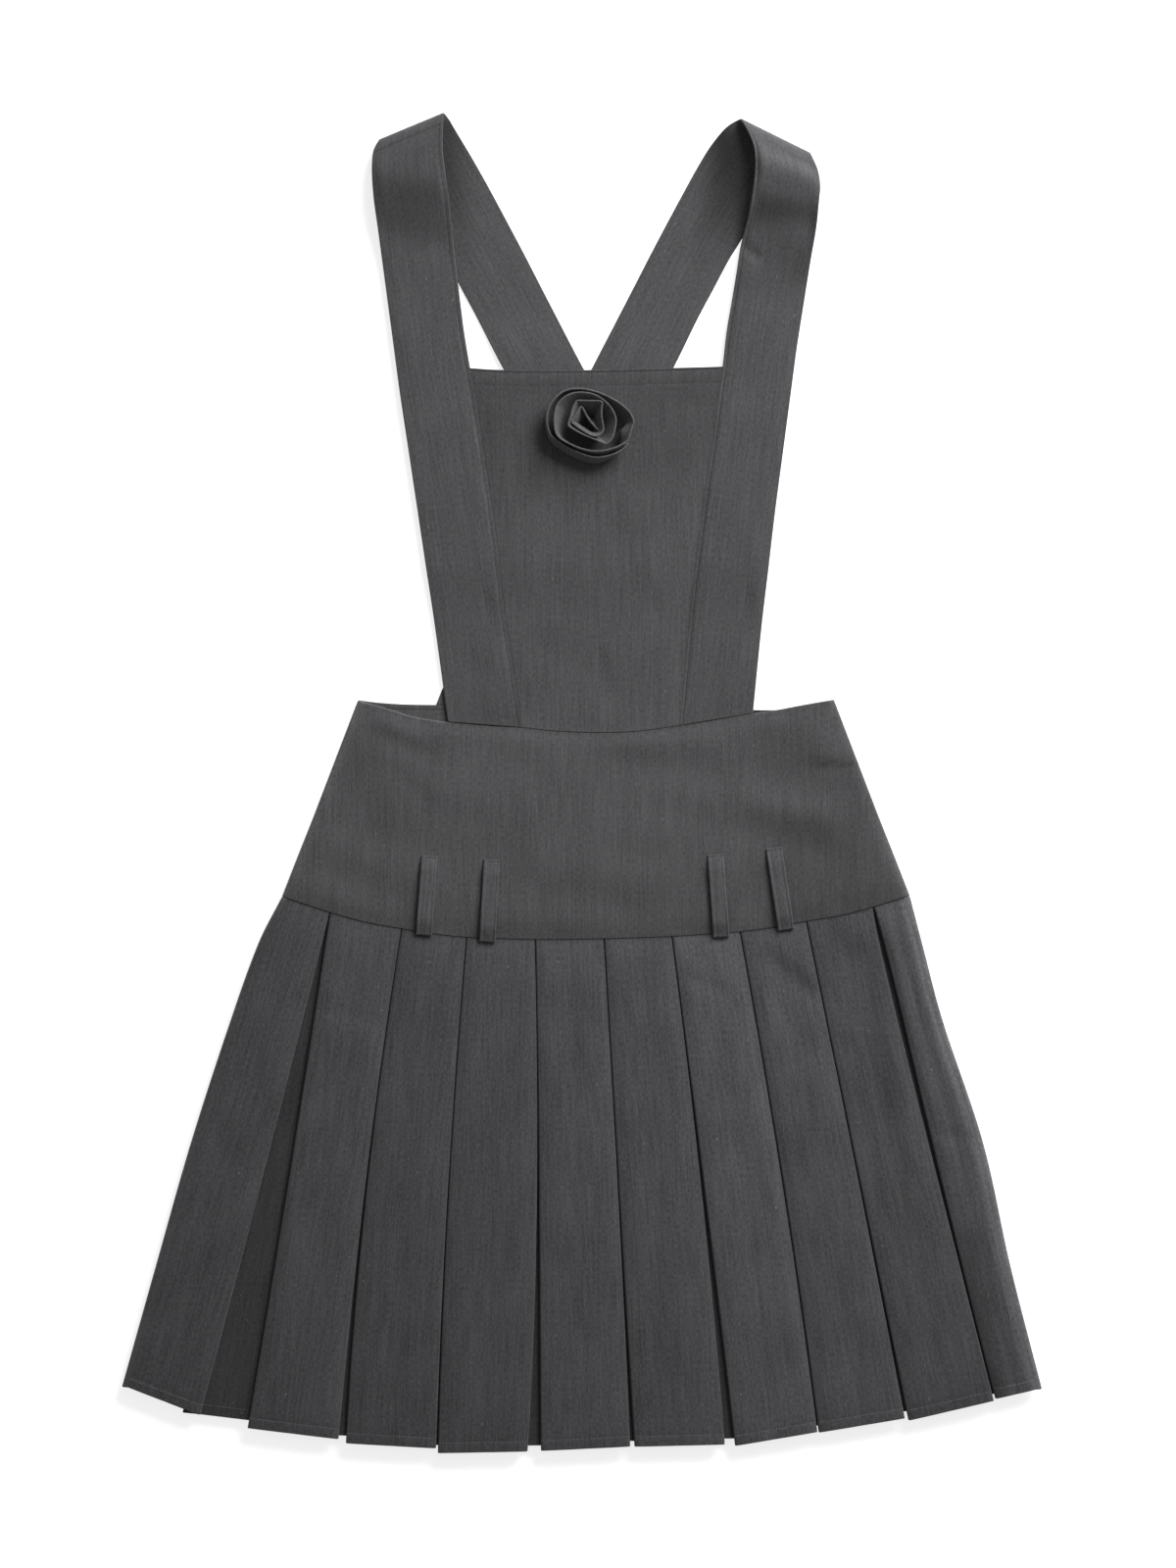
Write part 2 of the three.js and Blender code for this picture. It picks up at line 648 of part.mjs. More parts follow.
function frontRows(strap, frame, edges) {
  const waistOuterY = waistFrontY(edges.outer(strapFootY)) + seamGap;
  const waistInnerY = waistFrontY(edges.inner(bibFootY)) + seamGap;
  const top = rowAtFoldDistance(strap, frame, edges.outer, edges.inner, -loopRiseBeforeTip);
  const result = [];
  for (let r = 0; r < strapFrontRows; r += 1) {
    const v = r / (strapFrontRows - 1);
    const outerY = lerp(waistOuterY, top.outer.y, v);
    const innerY = lerp(waistInnerY, top.inner.y, v);
    const seamShift = strap.side * halfGap * smooth((bibSeamEndY - innerY) / bibSeamFade);
    result.push({
      outer: { x: edges.outer(outerY), y: outerY },
      inner: { x: edges.inner(innerY) + seamShift, y: innerY },
    });
  }
  return result;
}

function rowAtFoldDistance(strap, frame, outerX, innerX, b) {
  return {
    outer: edgeAtFoldDistance(outerX, frame, b, strapsPartY, strap.fold.outer.y),
    inner: edgeAtFoldDistance(innerX, frame, b, strapsPartY, strap.fold.inner.y),
  };
}

function loopRows(strap, frame, edges) {
  return loopProfile(strap).map((stop) => {
    const passedTip = stop.facing.z < 0;
    const outerX = passedTip ? edges.lower : edges.outer;
    const innerX = passedTip ? edges.upper : edges.inner;
    const row = rowAtFoldDistance(strap, frame, outerX, innerX, stop.b);
    return { ...row, b: stop.b, z: stop.z, facing: stop.facing, passedTip };
  });
}

function backRows(start, edges) {
  const result = [];
  const endLower = waistBackY(edges.lower(backStrapFootY)) + seamGap;
  const endUpper = waistBackY(edges.upper(backStrapFootY)) + seamGap;
  for (let r = 1; r < strapBackRows; r += 1) {
    const v = r / (strapBackRows - 1);
    const lowerY = lerp(start.outer.y, endLower, v);
    const upperY = lerp(start.inner.y, endUpper, v);
    result.push({
      outer: { x: edges.lower(lowerY), y: lowerY },
      inner: { x: edges.upper(upperY), y: upperY },
    });
  }
  return result;
}

// Both faces of one strap row; `facing` is where its right side looks
function strapFaces(row, heightAt, facing, frame) {
  const inside = [];
  const outside = [];
  const tip = frame.place(0, 0);
  const beyondTip = frame.place(0, facing.b * halfWall);
  const dx = beyondTip.x - tip.x;
  const dy = beyondTip.y - tip.y;
  const dz = facing.z * halfWall;
  for (let c = 0; c < strapColumns; c += 1) {
    const u = c / (strapColumns - 1);
    const x = lerp(row.outer.x, row.inner.x, u);
    const y = lerp(row.outer.y, row.inner.y, u);
    const z = heightAt(y);
    outside.push([x + dx, y + dy, z + dz]);
    inside.push([x - dx, y - dy, z - dz]);
  }
  return { inside, outside };
}

// Front strap and bib side in one band, up to the shoulder seam
function strapFront(name, strap, colour) {
  const frame = foldFrame(strap.fold);
  const { front, loop } = strapRows(strap);
  const faces = front.map((row) => strapFaces(row, (y) => bibZ(y) + halfWall, up, frame));
  for (const row of loop.slice(1, -1)) {
    if (row.passedTip || row.b > -shoulderSeamBeforeTip) break;
    faces.push(strapFaces(row, () => row.z, row.facing, frame));
  }
  faces.push(seamFaces(loop, frame, -shoulderSeamBeforeTip - halfGap));
  return clothMesh(name, faces.map((f) => f.inside), faces.map((f) => f.outside), colour);
}

// Back strap: over the shoulder from the seam, then down to the back waist
function strapBack(name, strap, colour) {
  const frame = foldFrame(strap.fold);
  const { loop, back } = strapRows(strap);
  const faces = [seamFaces(loop, frame, -shoulderSeamBeforeTip + halfGap)];
  for (const row of loop) {
    const afterSeam = row.passedTip || row.b > -shoulderSeamBeforeTip + leastRowStep;
    if (afterSeam) faces.push(strapFaces(row, () => row.z, row.facing, frame));
  }
  for (const row of back) {
    const heightAt = (y) => (strap.crossesOver ? upperStrapZ(y) : backLayerZ) + halfWall;
    faces.push(strapFaces(row, heightAt, down, frame));
  }
  return clothMesh(name, faces.map((f) => f.inside), faces.map((f) => f.outside), colour);
}

// The row of the loop at distance b before the tip, where the shoulder seam runs
function seamFaces(loop, frame, b) {
  const after = loop.findIndex((row) => row.b > b || row.passedTip);
  const low = loop[after - 1];
  const high = loop[after];
  const t = (b - low.b) / (high.b - low.b);
  const mix = (p, q) => ({ x: lerp(p.x, q.x, t), y: lerp(p.y, q.y, t) });
  const row = { outer: mix(low.outer, high.outer), inner: mix(low.inner, high.inner) };
  const facing = { b: lerp(low.facing.b, high.facing.b, t), z: lerp(low.facing.z, high.facing.z, t) };
  return strapFaces(row, () => lerp(low.z, high.z, t), facing, frame);
}

const leftStrap = {
  fold: leftFold,
  crestZ: leftCrestZ,
  tipRadius: leftTipRadius,
  outer: leftOuterEdge,
  inner: leftInnerEdge,
  backUpper: leftBackUpper,
  backLower: leftBackLower,
  side: -1,
  crossesOver: true,
};
const rightStrap = {
  fold: rightFold,
  crestZ: rightCrestZ,
  tipRadius: rightTipRadius,
  outer: rightOuterEdge,
  inner: rightInnerEdge,
  backUpper: rightBackUpper,
  backLower: rightBackLower,
  side: 1,
  crossesOver: false,
};

// Belt loop: a narrow band that stands proud of the yoke between its sewn ends
function beltLoop(name, ends, colour) {
  const length = Math.hypot(ends.lowX - ends.topX, ends.lowY - ends.topY);
  const across = { x: -(ends.lowY - ends.topY) / length, y: (ends.lowX - ends.topX) / length };
  const under = [];
  const over = [];
  for (let r = 0; r < beltLoopRows; r += 1) {
    const w = r / (beltLoopRows - 1);
    const rise = smooth(Math.min(w, 1 - w) / loopLanding);
    under.push([]);
    over.push([]);
    for (const side of [-0.5, 0.5]) {
      const x = lerp(ends.topX, ends.lowX, w) + across.x * side * loopWidth;
      const y = lerp(ends.topY, ends.lowY, w) + across.y * side * loopWidth;
      const seat = yokeZ(x, y) + clothWall + 2 * seamGap;
      under[r].push([x, y, seat + loopArch * rise]);
      over[r].push([x, y, seat + loopArch * rise + loopWall]);
    }
  }
  return clothMesh(name, under, over, colour);
}

// Rose: a strip rolled up on edge, its foot smaller than its rim and shifted towards the hem
function rose(colour) {
  const seatZ = bibOverCrossingZ + layerPitch;
  const offsets = wallOffsets(roseRim.map(({ x, y }) => ({ x, z: y })));
  const under = [];
  const over = [];
  roseRim.forEach((corner, k) => {
    const share = k / (roseRim.length - 1);
    const core = lerp(roseCoreHeight, 1, smooth(share / roseCoreEnd));
    const outer = smooth((share - roseRimStart) / (roseRimEnd - roseRimStart));
    const height = roseHeight * core * lerp(1, roseRimHeight, outer);
    const wallFace = (side) => roseLevels.map((level) => {
      const spread = lerp(roseBaseShare, 1, level);
      return [
        roseCentre.x + corner.x * spread + roseLean.x * (1 - level) + side * offsets[k].x,
        roseCentre.y + corner.y * spread + roseLean.y * (1 - level) + side * offsets[k].z,
        seatZ + height * level,
      ];
    });
    under.push(wallFace(-1));
    over.push(wallFace(1));
  });
  return clothMesh("rose", under, over, colour);
}

const colours = {
  bib: "#505052",
  strap: "#4f4f51",
  backStrap: "#545456",
  yoke: "#4e4e50",
  skirt: "#434345",
  loop: "#4f4f51",
  rose: "#4c4c4e",
};

const dress = new THREE.Group();
dress.name = "pinafore_dress";
dress.add(bibCentre(colours.bib));
dress.add(strapFront("strap_front_left", leftStrap, colours.strap));
dress.add(strapFront("strap_front_right", rightStrap, colours.strap));
dress.add(strapBack("strap_back_left", leftStrap, colours.backStrap));
dress.add(strapBack("strap_back_right", rightStrap, colours.backStrap));
dress.add(yokeFront(colours.yoke));
dress.add(yokeBack(colours.yoke));
dress.add(skirtFront(colours.skirt));
dress.add(skirtBack(colours.skirt));
beltLoops.forEach((ends, k) => dress.add(beltLoop(`belt_loop_${k + 1}`, ends, colours.loop)));
dress.add(rose(colours.rose));

export default dress;
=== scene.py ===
import math
import bpy
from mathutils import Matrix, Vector, noise
from mathutils.bvhtree import BVHTree


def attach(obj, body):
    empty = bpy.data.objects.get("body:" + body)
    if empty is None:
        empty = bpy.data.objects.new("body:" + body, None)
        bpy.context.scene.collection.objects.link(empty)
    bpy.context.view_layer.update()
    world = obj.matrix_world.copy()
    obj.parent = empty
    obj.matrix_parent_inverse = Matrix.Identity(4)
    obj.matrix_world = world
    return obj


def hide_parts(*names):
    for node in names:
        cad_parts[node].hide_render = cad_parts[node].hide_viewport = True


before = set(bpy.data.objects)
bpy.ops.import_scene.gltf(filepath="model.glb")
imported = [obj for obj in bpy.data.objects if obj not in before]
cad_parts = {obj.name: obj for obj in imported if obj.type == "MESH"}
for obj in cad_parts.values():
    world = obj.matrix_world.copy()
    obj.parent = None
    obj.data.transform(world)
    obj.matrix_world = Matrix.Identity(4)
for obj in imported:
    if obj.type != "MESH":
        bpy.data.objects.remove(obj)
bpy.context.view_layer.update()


# Bib centre. The middle panel of the bib, one layer of grey melange suiting. Its top edge is
# turned in and topstitched in dark thread; its sides are sewn to the straps, its foot to the yoke.
# Outlines are places in mm, x by y. A fold is described at folds_at.
MM = 0.001
CLOTH_WALL = 1.2 * MM
SEAM_GAP = 0.3 * MM
HALF_WALL = CLOTH_WALL / 2
HALF_GAP = SEAM_GAP / 2
SEAM_LAP = 0.08 * MM
BIB_SIDE_LAP = 0.45 * MM

FRONT_WAIST_EDGE = [
    (-152.3, 55.3), (-142.3, 52.7), (-129, 48.9), (-115.7, 44.7), (-91, 40.7), (-62.3, 38),
    (-39.7, 36.7), (-22.3, 34.7), (11, 33.3), (37.7, 34.3), (65.7, 38), (91, 42), (117, 46.7),
    (131, 48.7), (155.7, 53.3), (171.7, 56),
]
BIB_LEFT_SEAM = [
    (-75.7, 281.3), (-73, 268), (-67, 230), (-61, 189.3), (-57, 160.7), (-52.3, 118.7), (-39.7, 34),
]
BIB_RIGHT_SEAM = [
    (95.7, 282.3), (93, 263.3), (88.3, 227.3), (83.7, 198.7), (78.3, 158), (73.7, 118.7), (65.7, 34),
]
BIB_TOP_EDGE = [(-75.7, 281.3), (-53.7, 280), (4.3, 280), (95.7, 282.3)]
BIB_TOP_Y = 281 * MM
BIB_FOOT_Y = 38 * MM
BIB_SIZE = (0.172, 0.246)
BIB_TOPSTITCH = 1.5 * MM
BIB_TURNING = 11 * MM
BIB_TURNING_DIP = 0.12
BIB_FLAT_BY_SEAM = 12 * MM
BIB_FLAT_BY_TOP = 6 * MM
FRONT_WAIST_Z = 2 * MM
BIB_OVER_STRAPS_Z = 3.5 * MM
# Pairs like this one are where a change starts and the distance that it takes.
BIB_RISE = (110 * MM, 40 * MM)
BIB_FOLDS = [
    (-66, 262, -20, 266, 4, -0.22), (60, 262, 88, 252, 5, -0.25), (-30, 95, 18, 66, 11, -0.4),
    (40, 190, 62, 120, 12, 0.4), (-40, 170, -30, 110, 10, 0.35), (-22, 212, -34, 190, 7, -0.3),
]
# Painted shade over the bib's upper part and painted light along its foot.
BIB_UPPER_SHADE = 0.8
BIB_UPPER_Y = (150 * MM, 100 * MM)
BIB_FOOT_LIGHT = 0.15
BIB_FOOT_LIGHT_REACH = 13 * MM
# Depths of the painted shade beside the bib's side seams and along the waist seam.
BIB_SIDE_SEAM_SHADE = 0.18
WAIST_SEAM_SHADE = 0.35
STITCH_PITCH = 1.6 * MM
STITCH_LENGTH = 1 * MM
STITCH_LIFT = 0.05 * MM


def mix(a, b, t):
    return a + (b - a) * t


def smooth(t):
    t = min(1.0, max(0.0, t))
    return t * t * (3 - 2 * t)


def hill(distance, reach):
    """1 at no distance, and softly down to nothing beyond the reach."""
    return math.exp(-((distance / reach) ** 2))


def curve_through(points, known, wanted):
    """Smooth curve through points in mm; it takes and gives metres. Column 0 is x, 1 is y."""
    rows = sorted(points, key=lambda p: p[known])
    last = len(rows) - 1

    def slope(k):
        before, after = rows[max(0, k - 1)], rows[min(last, k + 1)]
        return (after[wanted] - before[wanted]) / (after[known] - before[known])

    slopes = [slope(k) for k in range(last + 1)]

    def value_at(value):
        value /= MM
        k = 0
        while k < last - 1 and value > rows[k + 1][known]:
            k += 1
        low, high = rows[k], rows[k + 1]
        span = high[known] - low[known]
        rise = high[wanted] - low[wanted]
        t = min(1.0, max(0.0, (value - low[known]) / span))
        bend = (1 - t) * (slopes[k] * span - rise) - t * (slopes[k + 1] * span - rise)
        return (mix(low[wanted], high[wanted], t) + t * (1 - t) * bend) * MM

    return value_at


def x_curve(points):
    return curve_through(points, 1, 0)


def y_curve(points):
    return curve_through(points, 0, 1)


def stations(length, step, lines=()):
    """Shares of a length, closer together at both ends and beside each sewn line."""
    edge_steps = (0, 0.07, 0.22, 0.42, 0.62, 1.1, 2)
    line_steps = (-1.6, -0.8, -0.4, 0, 0.4, 0.8, 1.6)
    special = [d * MM for d in edge_steps] + [length - d * MM for d in edge_steps]
    special += [line + d * MM for line in lines for d in line_steps]
    count = max(2, round(length / step))
    plain = [length * k / count for k in range(1, count)]
    kept = [p for p in plain if min(abs(p - s) for s in special) > step / 3]
    places = [0.0]
    for place in sorted(special + kept):
        if place - places[-1] > 0.06 * MM and length - place > 0.06 * MM:
            places.append(place)
    return [place / length for place in places + [length]]


def waves(x, y, seed, broad=0.45, fine=0.1):
    """Unevenness of cloth that lies loose, in metres, never below nothing."""
    wide = noise.noise(Vector((x / 0.075, y / 0.085, seed)))
    small = noise.noise(Vector((x / 0.017, y / 0.024, seed + 9)))
    return (broad * (1 + wide) + fine * (1 + small)) * MM


def folds_at(folds, x, y):
    """Height that soft folds add at a point. A fold runs between two points and has a
    half width and a height, all in mm; a trough has a negative height."""
    x, y = x / MM, y / MM
    total = 0.0
    for x1, y1, x2, y2, half_width, height in folds:
        run_x, run_y = x2 - x1, y2 - y1
        share = ((x - x1) * run_x + (y - y1) * run_y) / (run_x * run_x + run_y * run_y)
        share = min(1.0, max(0.0, share))
        away = math.hypot(x - x1 - run_x * share, y - y1 - run_y * share) / half_width
        if away < 3:
            total += height * math.exp(-away * away)
    return total * MM


def sewn_dip(distance, depth=0.28):
    """How far a row of stitches draws the cloth in, at a distance from it."""
    return -depth * MM * hill(distance, 0.9 * MM)


def painted_shade_near(distance, depth=0.5, width=0.7):
    """Tone with painted shade where the cloth turns into a seam or is drawn in, at a distance from it."""
    return 1 - depth * hill(distance, width * MM)


def new_object(name, data):
    """Object in the scene that holds a mesh, a lamp's data or a camera's data."""
    made = bpy.data.objects.new(name, data)
    bpy.context.collection.objects.link(made)
    return made


def cloth_shell(name, middle, flat, wall=CLOTH_WALL, tones=None):
    """Thin closed cloth with rounded edges about rows of middle points. Flat holds the place of
    each point on the cut cloth, in metres, and becomes the piece's UV map. Tones, where given,
    paint shade (below 1) or light into the cloth's colour at each point."""
    rows, columns = len(middle), len(middle[0])
    half = wall / 2
    points, sides, point_tones = [], [[], []], []
    for r in range(rows):
        for c in range(columns):
            across = middle[r][min(c + 1, columns - 1)] - middle[r][max(c - 1, 0)]
            along = middle[min(r + 1, rows - 1)][c] - middle[max(r - 1, 0)][c]
            normal = across.cross(along).normalized()
            u, v = flat[r][c]
            to_edge = min(
                math.hypot(u - flat[r][0][0], v - flat[r][0][1]),
                math.hypot(u - flat[r][-1][0], v - flat[r][-1][1]),
                math.hypot(u - flat[0][c][0], v - flat[0][c][1]),
                math.hypot(u - flat[-1][c][0], v - flat[-1][c][1]),
            )
            rim = r in (0, rows - 1) or c in (0, columns - 1)
            inward = 1 - min(1.0, to_edge / half)
            offset = 0.0 if rim else half * math.sqrt(max(0.04, 1 - inward * inward))
            tone = 1.0 if tones is None else tones[r][c]
            sides[0].append(len(points))
            points.append(middle[r][c] + normal * offset)
            point_tones.append(tone)
            if rim:
                sides[1].append(sides[0][-1])
            else:
                sides[1].append(len(points))
                points.append(middle[r][c] - normal * offset)
                point_tones.append(tone)
    faces, places = [], []
    for r in range(rows - 1):
        for c in range(columns - 1):
            corners = [(r, c), (r, c + 1), (r + 1, c + 1), (r + 1, c)]
            for side, order in ((sides[0], corners), (sides[1], corners[::-1])):
                faces.append([side[a * columns + b] for a, b in order])
                places += [flat[a][b] for a, b in order]
    mesh = bpy.data.meshes.new(name)
    mesh.from_pydata(points, [], faces)
    layer = mesh.uv_layers.new(name="cut")
    layer.data.foreach_set("uv", [value for place in places for value in place])
    # Painted light and shade at each point, kept as the tone attribute.
    shade = mesh.attributes.new("tone", "FLOAT", "POINT")
    shade.data.foreach_set("value", point_tones)
    mesh.shade_smooth()
    return new_object(name, mesh)


def new_material(name):
    """Material and its shader."""
    material = bpy.data.materials.new(name)
    material.use_nodes = True
    return material, material.node_tree.nodes["Principled BSDF"]


def add_node(tree, kind, values=None, **settings):
    """Node with its settings, and with fixed values on the sockets that are named."""
    node = tree.nodes.new(kind)
    for key, setting in settings.items():
        setattr(node, key, setting)
    for socket, value in (values or {}).items():
        node.inputs[socket].default_value = value
    return node


def suiting(name, light, dark, contrast=1.0):
    """Woven melange suiting: fine light and dark fibres, faint long warp streaks, a weave and
    a few pale slubs. It reads the piece's own cut in metres and its tone of painted light and shade."""
    material, shader = new_material(name)
    tree, link = material.node_tree, material.node_tree.links.new
    cut = add_node(tree, "ShaderNodeUVMap", uv_map="cut")

    def texture(scale, detail, roughness=0.5):
        mapping = add_node(tree, "ShaderNodeMapping", {"Scale": scale})
        noise_values = {"Scale": 1.0, "Detail": detail, "Roughness": roughness}
        grain = add_node(tree, "ShaderNodeTexNoise", noise_values)
        link(cut.outputs["UV"], mapping.inputs["Vector"])
        link(mapping.outputs["Vector"], grain.inputs["Vector"])
        return grain.outputs["Fac"]

    def calculate(operation, first, second):
        node = add_node(tree, "ShaderNodeMath", operation=operation)
        for socket, value in zip(node.inputs, (first, second)):
            if isinstance(value, (int, float)):
                socket.default_value = value
            else:
                link(value, socket)
        return node.outputs["Value"]

    def spread(value, low, high, to_low, to_high):
        limits = {"From Min": low, "From Max": high, "To Min": to_low, "To Max": to_high}
        node = add_node(tree, "ShaderNodeMapRange", limits)
        link(value, node.inputs["Value"])
        return node.outputs["Result"]

    # Scales are grains to the metre, across the warp and along it.
    fibres = texture((760, 380, 1), 1.0)
    yarns = texture((640, 30, 1), 1.0)
    bands = texture((110, 9, 1), 2.0, 0.6)
    blotches = texture((26, 22, 1), 3.0)
    slubs = texture((430, 300, 1), 0.0)

    split = add_node(tree, "ShaderNodeSeparateXYZ")
    link(cut.outputs["UV"], split.inputs["Vector"])
    yarn_turns = 2 * math.pi / (0.62 * MM)
    over = calculate("SINE", calculate("MULTIPLY", split.outputs["X"], yarn_turns), 0)
    under = calculate("SINE", calculate("MULTIPLY", split.outputs["Y"], yarn_turns), 0)
    weave = calculate("MULTIPLY", over, under)

    tone = calculate("MULTIPLY", weave, 0.14)
    amounts = ((fibres, 0.25, 0.28), (yarns, 0.25, 0.2), (bands, 0.25, 0.1), (blotches, 0.3, 0.1))
    for grain, low, amount in amounts:
        tone = calculate("ADD", tone, spread(grain, low, 1 - low, -amount, amount))
    tone = calculate("ADD", calculate("MULTIPLY", tone, contrast), 0.5)
    shades = {"A": (*dark, 1), "B": (*light, 1)}
    colour = add_node(tree, "ShaderNodeMix", shades, data_type="RGBA")
    pale = add_node(tree, "ShaderNodeMix", {"B": (0.19, 0.19, 0.195, 1)}, data_type="RGBA")
    # The tone attribute is painted light and shade; it scales the colour.
    painted_lighting = add_node(tree, "ShaderNodeAttribute", attribute_name="tone")
    lit_and_shaded_colour = add_node(tree, "ShaderNodeVectorMath", operation="SCALE")
    link(tone, colour.inputs["Factor"])
    link(spread(slubs, 0.84, 0.88, 0, 0.7), pale.inputs["Factor"])
    link(colour.outputs["Result"], pale.inputs["A"])
    link(pale.outputs["Result"], lit_and_shaded_colour.inputs[0])
    link(painted_lighting.outputs["Fac"], lit_and_shaded_colour.inputs["Scale"])
    link(lit_and_shaded_colour.outputs["Vector"], shader.inputs["Base Color"])

    link(spread(blotches, 0.2, 0.8, 0.82, 0.96), shader.inputs["Roughness"])
    relief = calculate("ADD", calculate("MULTIPLY", weave, 0.3), fibres)
    bump = add_node(tree, "ShaderNodeBump", {"Strength": 0.25, "Distance": 0.08 * MM})
    link(relief, bump.inputs["Height"])
    link(bump.outputs["Normal"], shader.inputs["Normal"])
    shader.inputs["Specular IOR Level"].default_value = 0.18
    shader.inputs["Sheen Weight"].default_value = 0.12
    shader.inputs["Sheen Roughness"].default_value = 0.6
    return material


def thread(name, colour):
    """Matt twisted sewing thread, a little uneven in tone."""
    material, shader = new_material(name)
    tree, link = material.node_tree, material.node_tree.links.new
    place = add_node(tree, "ShaderNodeTexCoord")
    twist = add_node(tree, "ShaderNodeTexNoise", {"Scale": 900.0})
    shades = {"A": (*[c * 0.7 for c in colour], 1), "B": (*[c * 1.3 for c in colour], 1)}
    tone = add_node(tree, "ShaderNodeMix", shades, data_type="RGBA")
    link(place.outputs["Object"], twist.inputs["Vector"])
    link(twist.outputs["Fac"], tone.inputs["Factor"])
    link(tone.outputs["Result"], shader.inputs["Base Color"])
    shader.inputs["Roughness"].default_value = 0.7
    return material


def stitch_tree():
    """Geometry nodes that lay one small stitch at every step along a drawn line."""
    tree = bpy.data.node_groups.new("row_of_stitches", "GeometryNodeTree")
    for label, kind in (
        ("Line", "Geometry"), ("Pitch", "Float"), ("Length", "Float"), ("Thickness", "Float"),
        ("Thread", "Material"),
    ):
        tree.interface.new_socket(label, in_out="INPUT", socket_type="NodeSocket" + kind)
    tree.interface.new_socket("Stitches", in_out="OUTPUT", socket_type="NodeSocketGeometry")
    given = add_node(tree, "NodeGroupInput")
    result = add_node(tree, "NodeGroupOutput")
    line = add_node(tree, "GeometryNodeMeshToCurve")
    steps = add_node(tree, "GeometryNodeResampleCurve", mode="LENGTH")
    bead = {"Segments": 6, "Rings": 5, "Radius": 0.5}
    stitch = add_node(tree, "GeometryNodeMeshUVSphere", bead)
    size = add_node(tree, "ShaderNodeCombineXYZ")
    shape = add_node(tree, "GeometryNodeTransform")
    direction = add_node(tree, "GeometryNodeInputTangent")
    turn = add_node(tree, "FunctionNodeAlignRotationToVector", axis="X")
    slants = {"Min": (-0.04, -0.09, -0.09), "Max": (0.04, 0.09, 0.09), "Seed": 7}
    wander = add_node(tree, "FunctionNodeRandomValue", slants, data_type="FLOAT_VECTOR")
    bent = add_node(tree, "ShaderNodeVectorMath", operation="ADD")
    # A random number's least and greatest value share their names, so they go by their places.
    least, greatest = 2, 3
    sizes = {least: 0.86, greatest: 1.1, "Seed": 11}
    uneven = add_node(tree, "FunctionNodeRandomValue", sizes, data_type="FLOAT")
    row = add_node(tree, "GeometryNodeInstanceOnPoints")
    real = add_node(tree, "GeometryNodeRealizeInstances")
    rounded = add_node(tree, "GeometryNodeSetShadeSmooth")
    finish = add_node(tree, "GeometryNodeSetMaterial")
    for source, output, target, entry in (
        (given, "Line", line, "Mesh"),
        (line, "Curve", steps, "Curve"),
        (given, "Pitch", steps, "Length"),
        (given, "Length", size, "X"),
        (given, "Thickness", size, "Y"),
        (given, "Thickness", size, "Z"),
        (stitch, "Mesh", shape, "Geometry"),
        (size, "Vector", shape, "Scale"),
        (direction, "Tangent", bent, 0),
        (wander, "Value", bent, 1),
        (bent, "Vector", turn, "Vector"),
        (steps, "Curve", row, "Points"),
        (shape, "Geometry", row, "Instance"),
        (turn, "Rotation", row, "Rotation"),
        (uneven, 1, row, "Scale"),
        (row, "Instances", real, "Geometry"),
        (real, "Geometry", rounded, "Geometry"),
        (rounded, "Geometry", finish, "Geometry"),
        (given, "Thread", finish, "Material"),
        (finish, "Geometry", result, "Stitches"),
    ):
        tree.links.new(source.outputs[output], target.inputs[entry])
    return tree


stitching = stitch_tree()


def stitch_line(start, end, count, y_at):
    """Places along a row of stitches from one x to another. It asks for y at an x and a share."""
    shares = [k / (count - 1) for k in range(count)]
    places = [(mix(start, end, share), share) for share in shares]
    return [(x, y_at(x, share)) for x, share in places]


def sew(name, cloth, lines, thread_finish, thickness, pitch=STITCH_PITCH, length=STITCH_LENGTH):
    """Rows of stitches on the upper face of a cloth piece, each row a list of (x, y)."""
    ground = BVHTree.FromObject(cloth, bpy.context.evaluated_depsgraph_get())
    points, edges = [], []
    for line in lines:
        before = None
        for x, y in line:
            hit = ground.ray_cast(Vector((x, y, 1)), Vector((0, 0, -1)))[0]
            if hit is None:
                before = None
                continue
            points.append(hit + Vector((0, 0, STITCH_LIFT)))
            if before is not None:
                edges.append((before, len(points) - 1))
            before = len(points) - 1
    drawn = bpy.data.meshes.new(name + "_line")
    drawn.from_pydata(points, edges, [])
    guide = new_object(name + "_line", drawn)
    modifier = guide.modifiers.new("stitches", "NODES")
    modifier.node_group = stitching
    sizes = {"Pitch": pitch, "Length": length, "Thickness": thickness, "Thread": thread_finish}
    for label, value in sizes.items():
        modifier[stitching.interface.items_tree[label].identifier] = value
    evaluated = guide.evaluated_get(bpy.context.evaluated_depsgraph_get())
    mesh = bpy.data.meshes.new_from_object(evaluated)
    guide.modifiers.clear()
    bpy.data.objects.remove(guide)
    row = new_object(name, mesh)
    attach(row, "root")
    return row


def finish_cloth(piece, material, nodes):
    piece.data.materials.append(material)
    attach(piece, "root")
    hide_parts(*nodes)


waist_y = y_curve(FRONT_WAIST_EDGE)
bib_left_x = x_curve(BIB_LEFT_SEAM)
bib_right_x = x_curve(BIB_RIGHT_SEAM)
bib_top_y = y_curve(BIB_TOP_EDGE)


def bib_height(y):
    """Lower face of the bib and front straps, which rise over the crossing back straps."""
    return mix(FRONT_WAIST_Z, BIB_OVER_STRAPS_Z, smooth((y - BIB_RISE[0]) / BIB_RISE[1]))


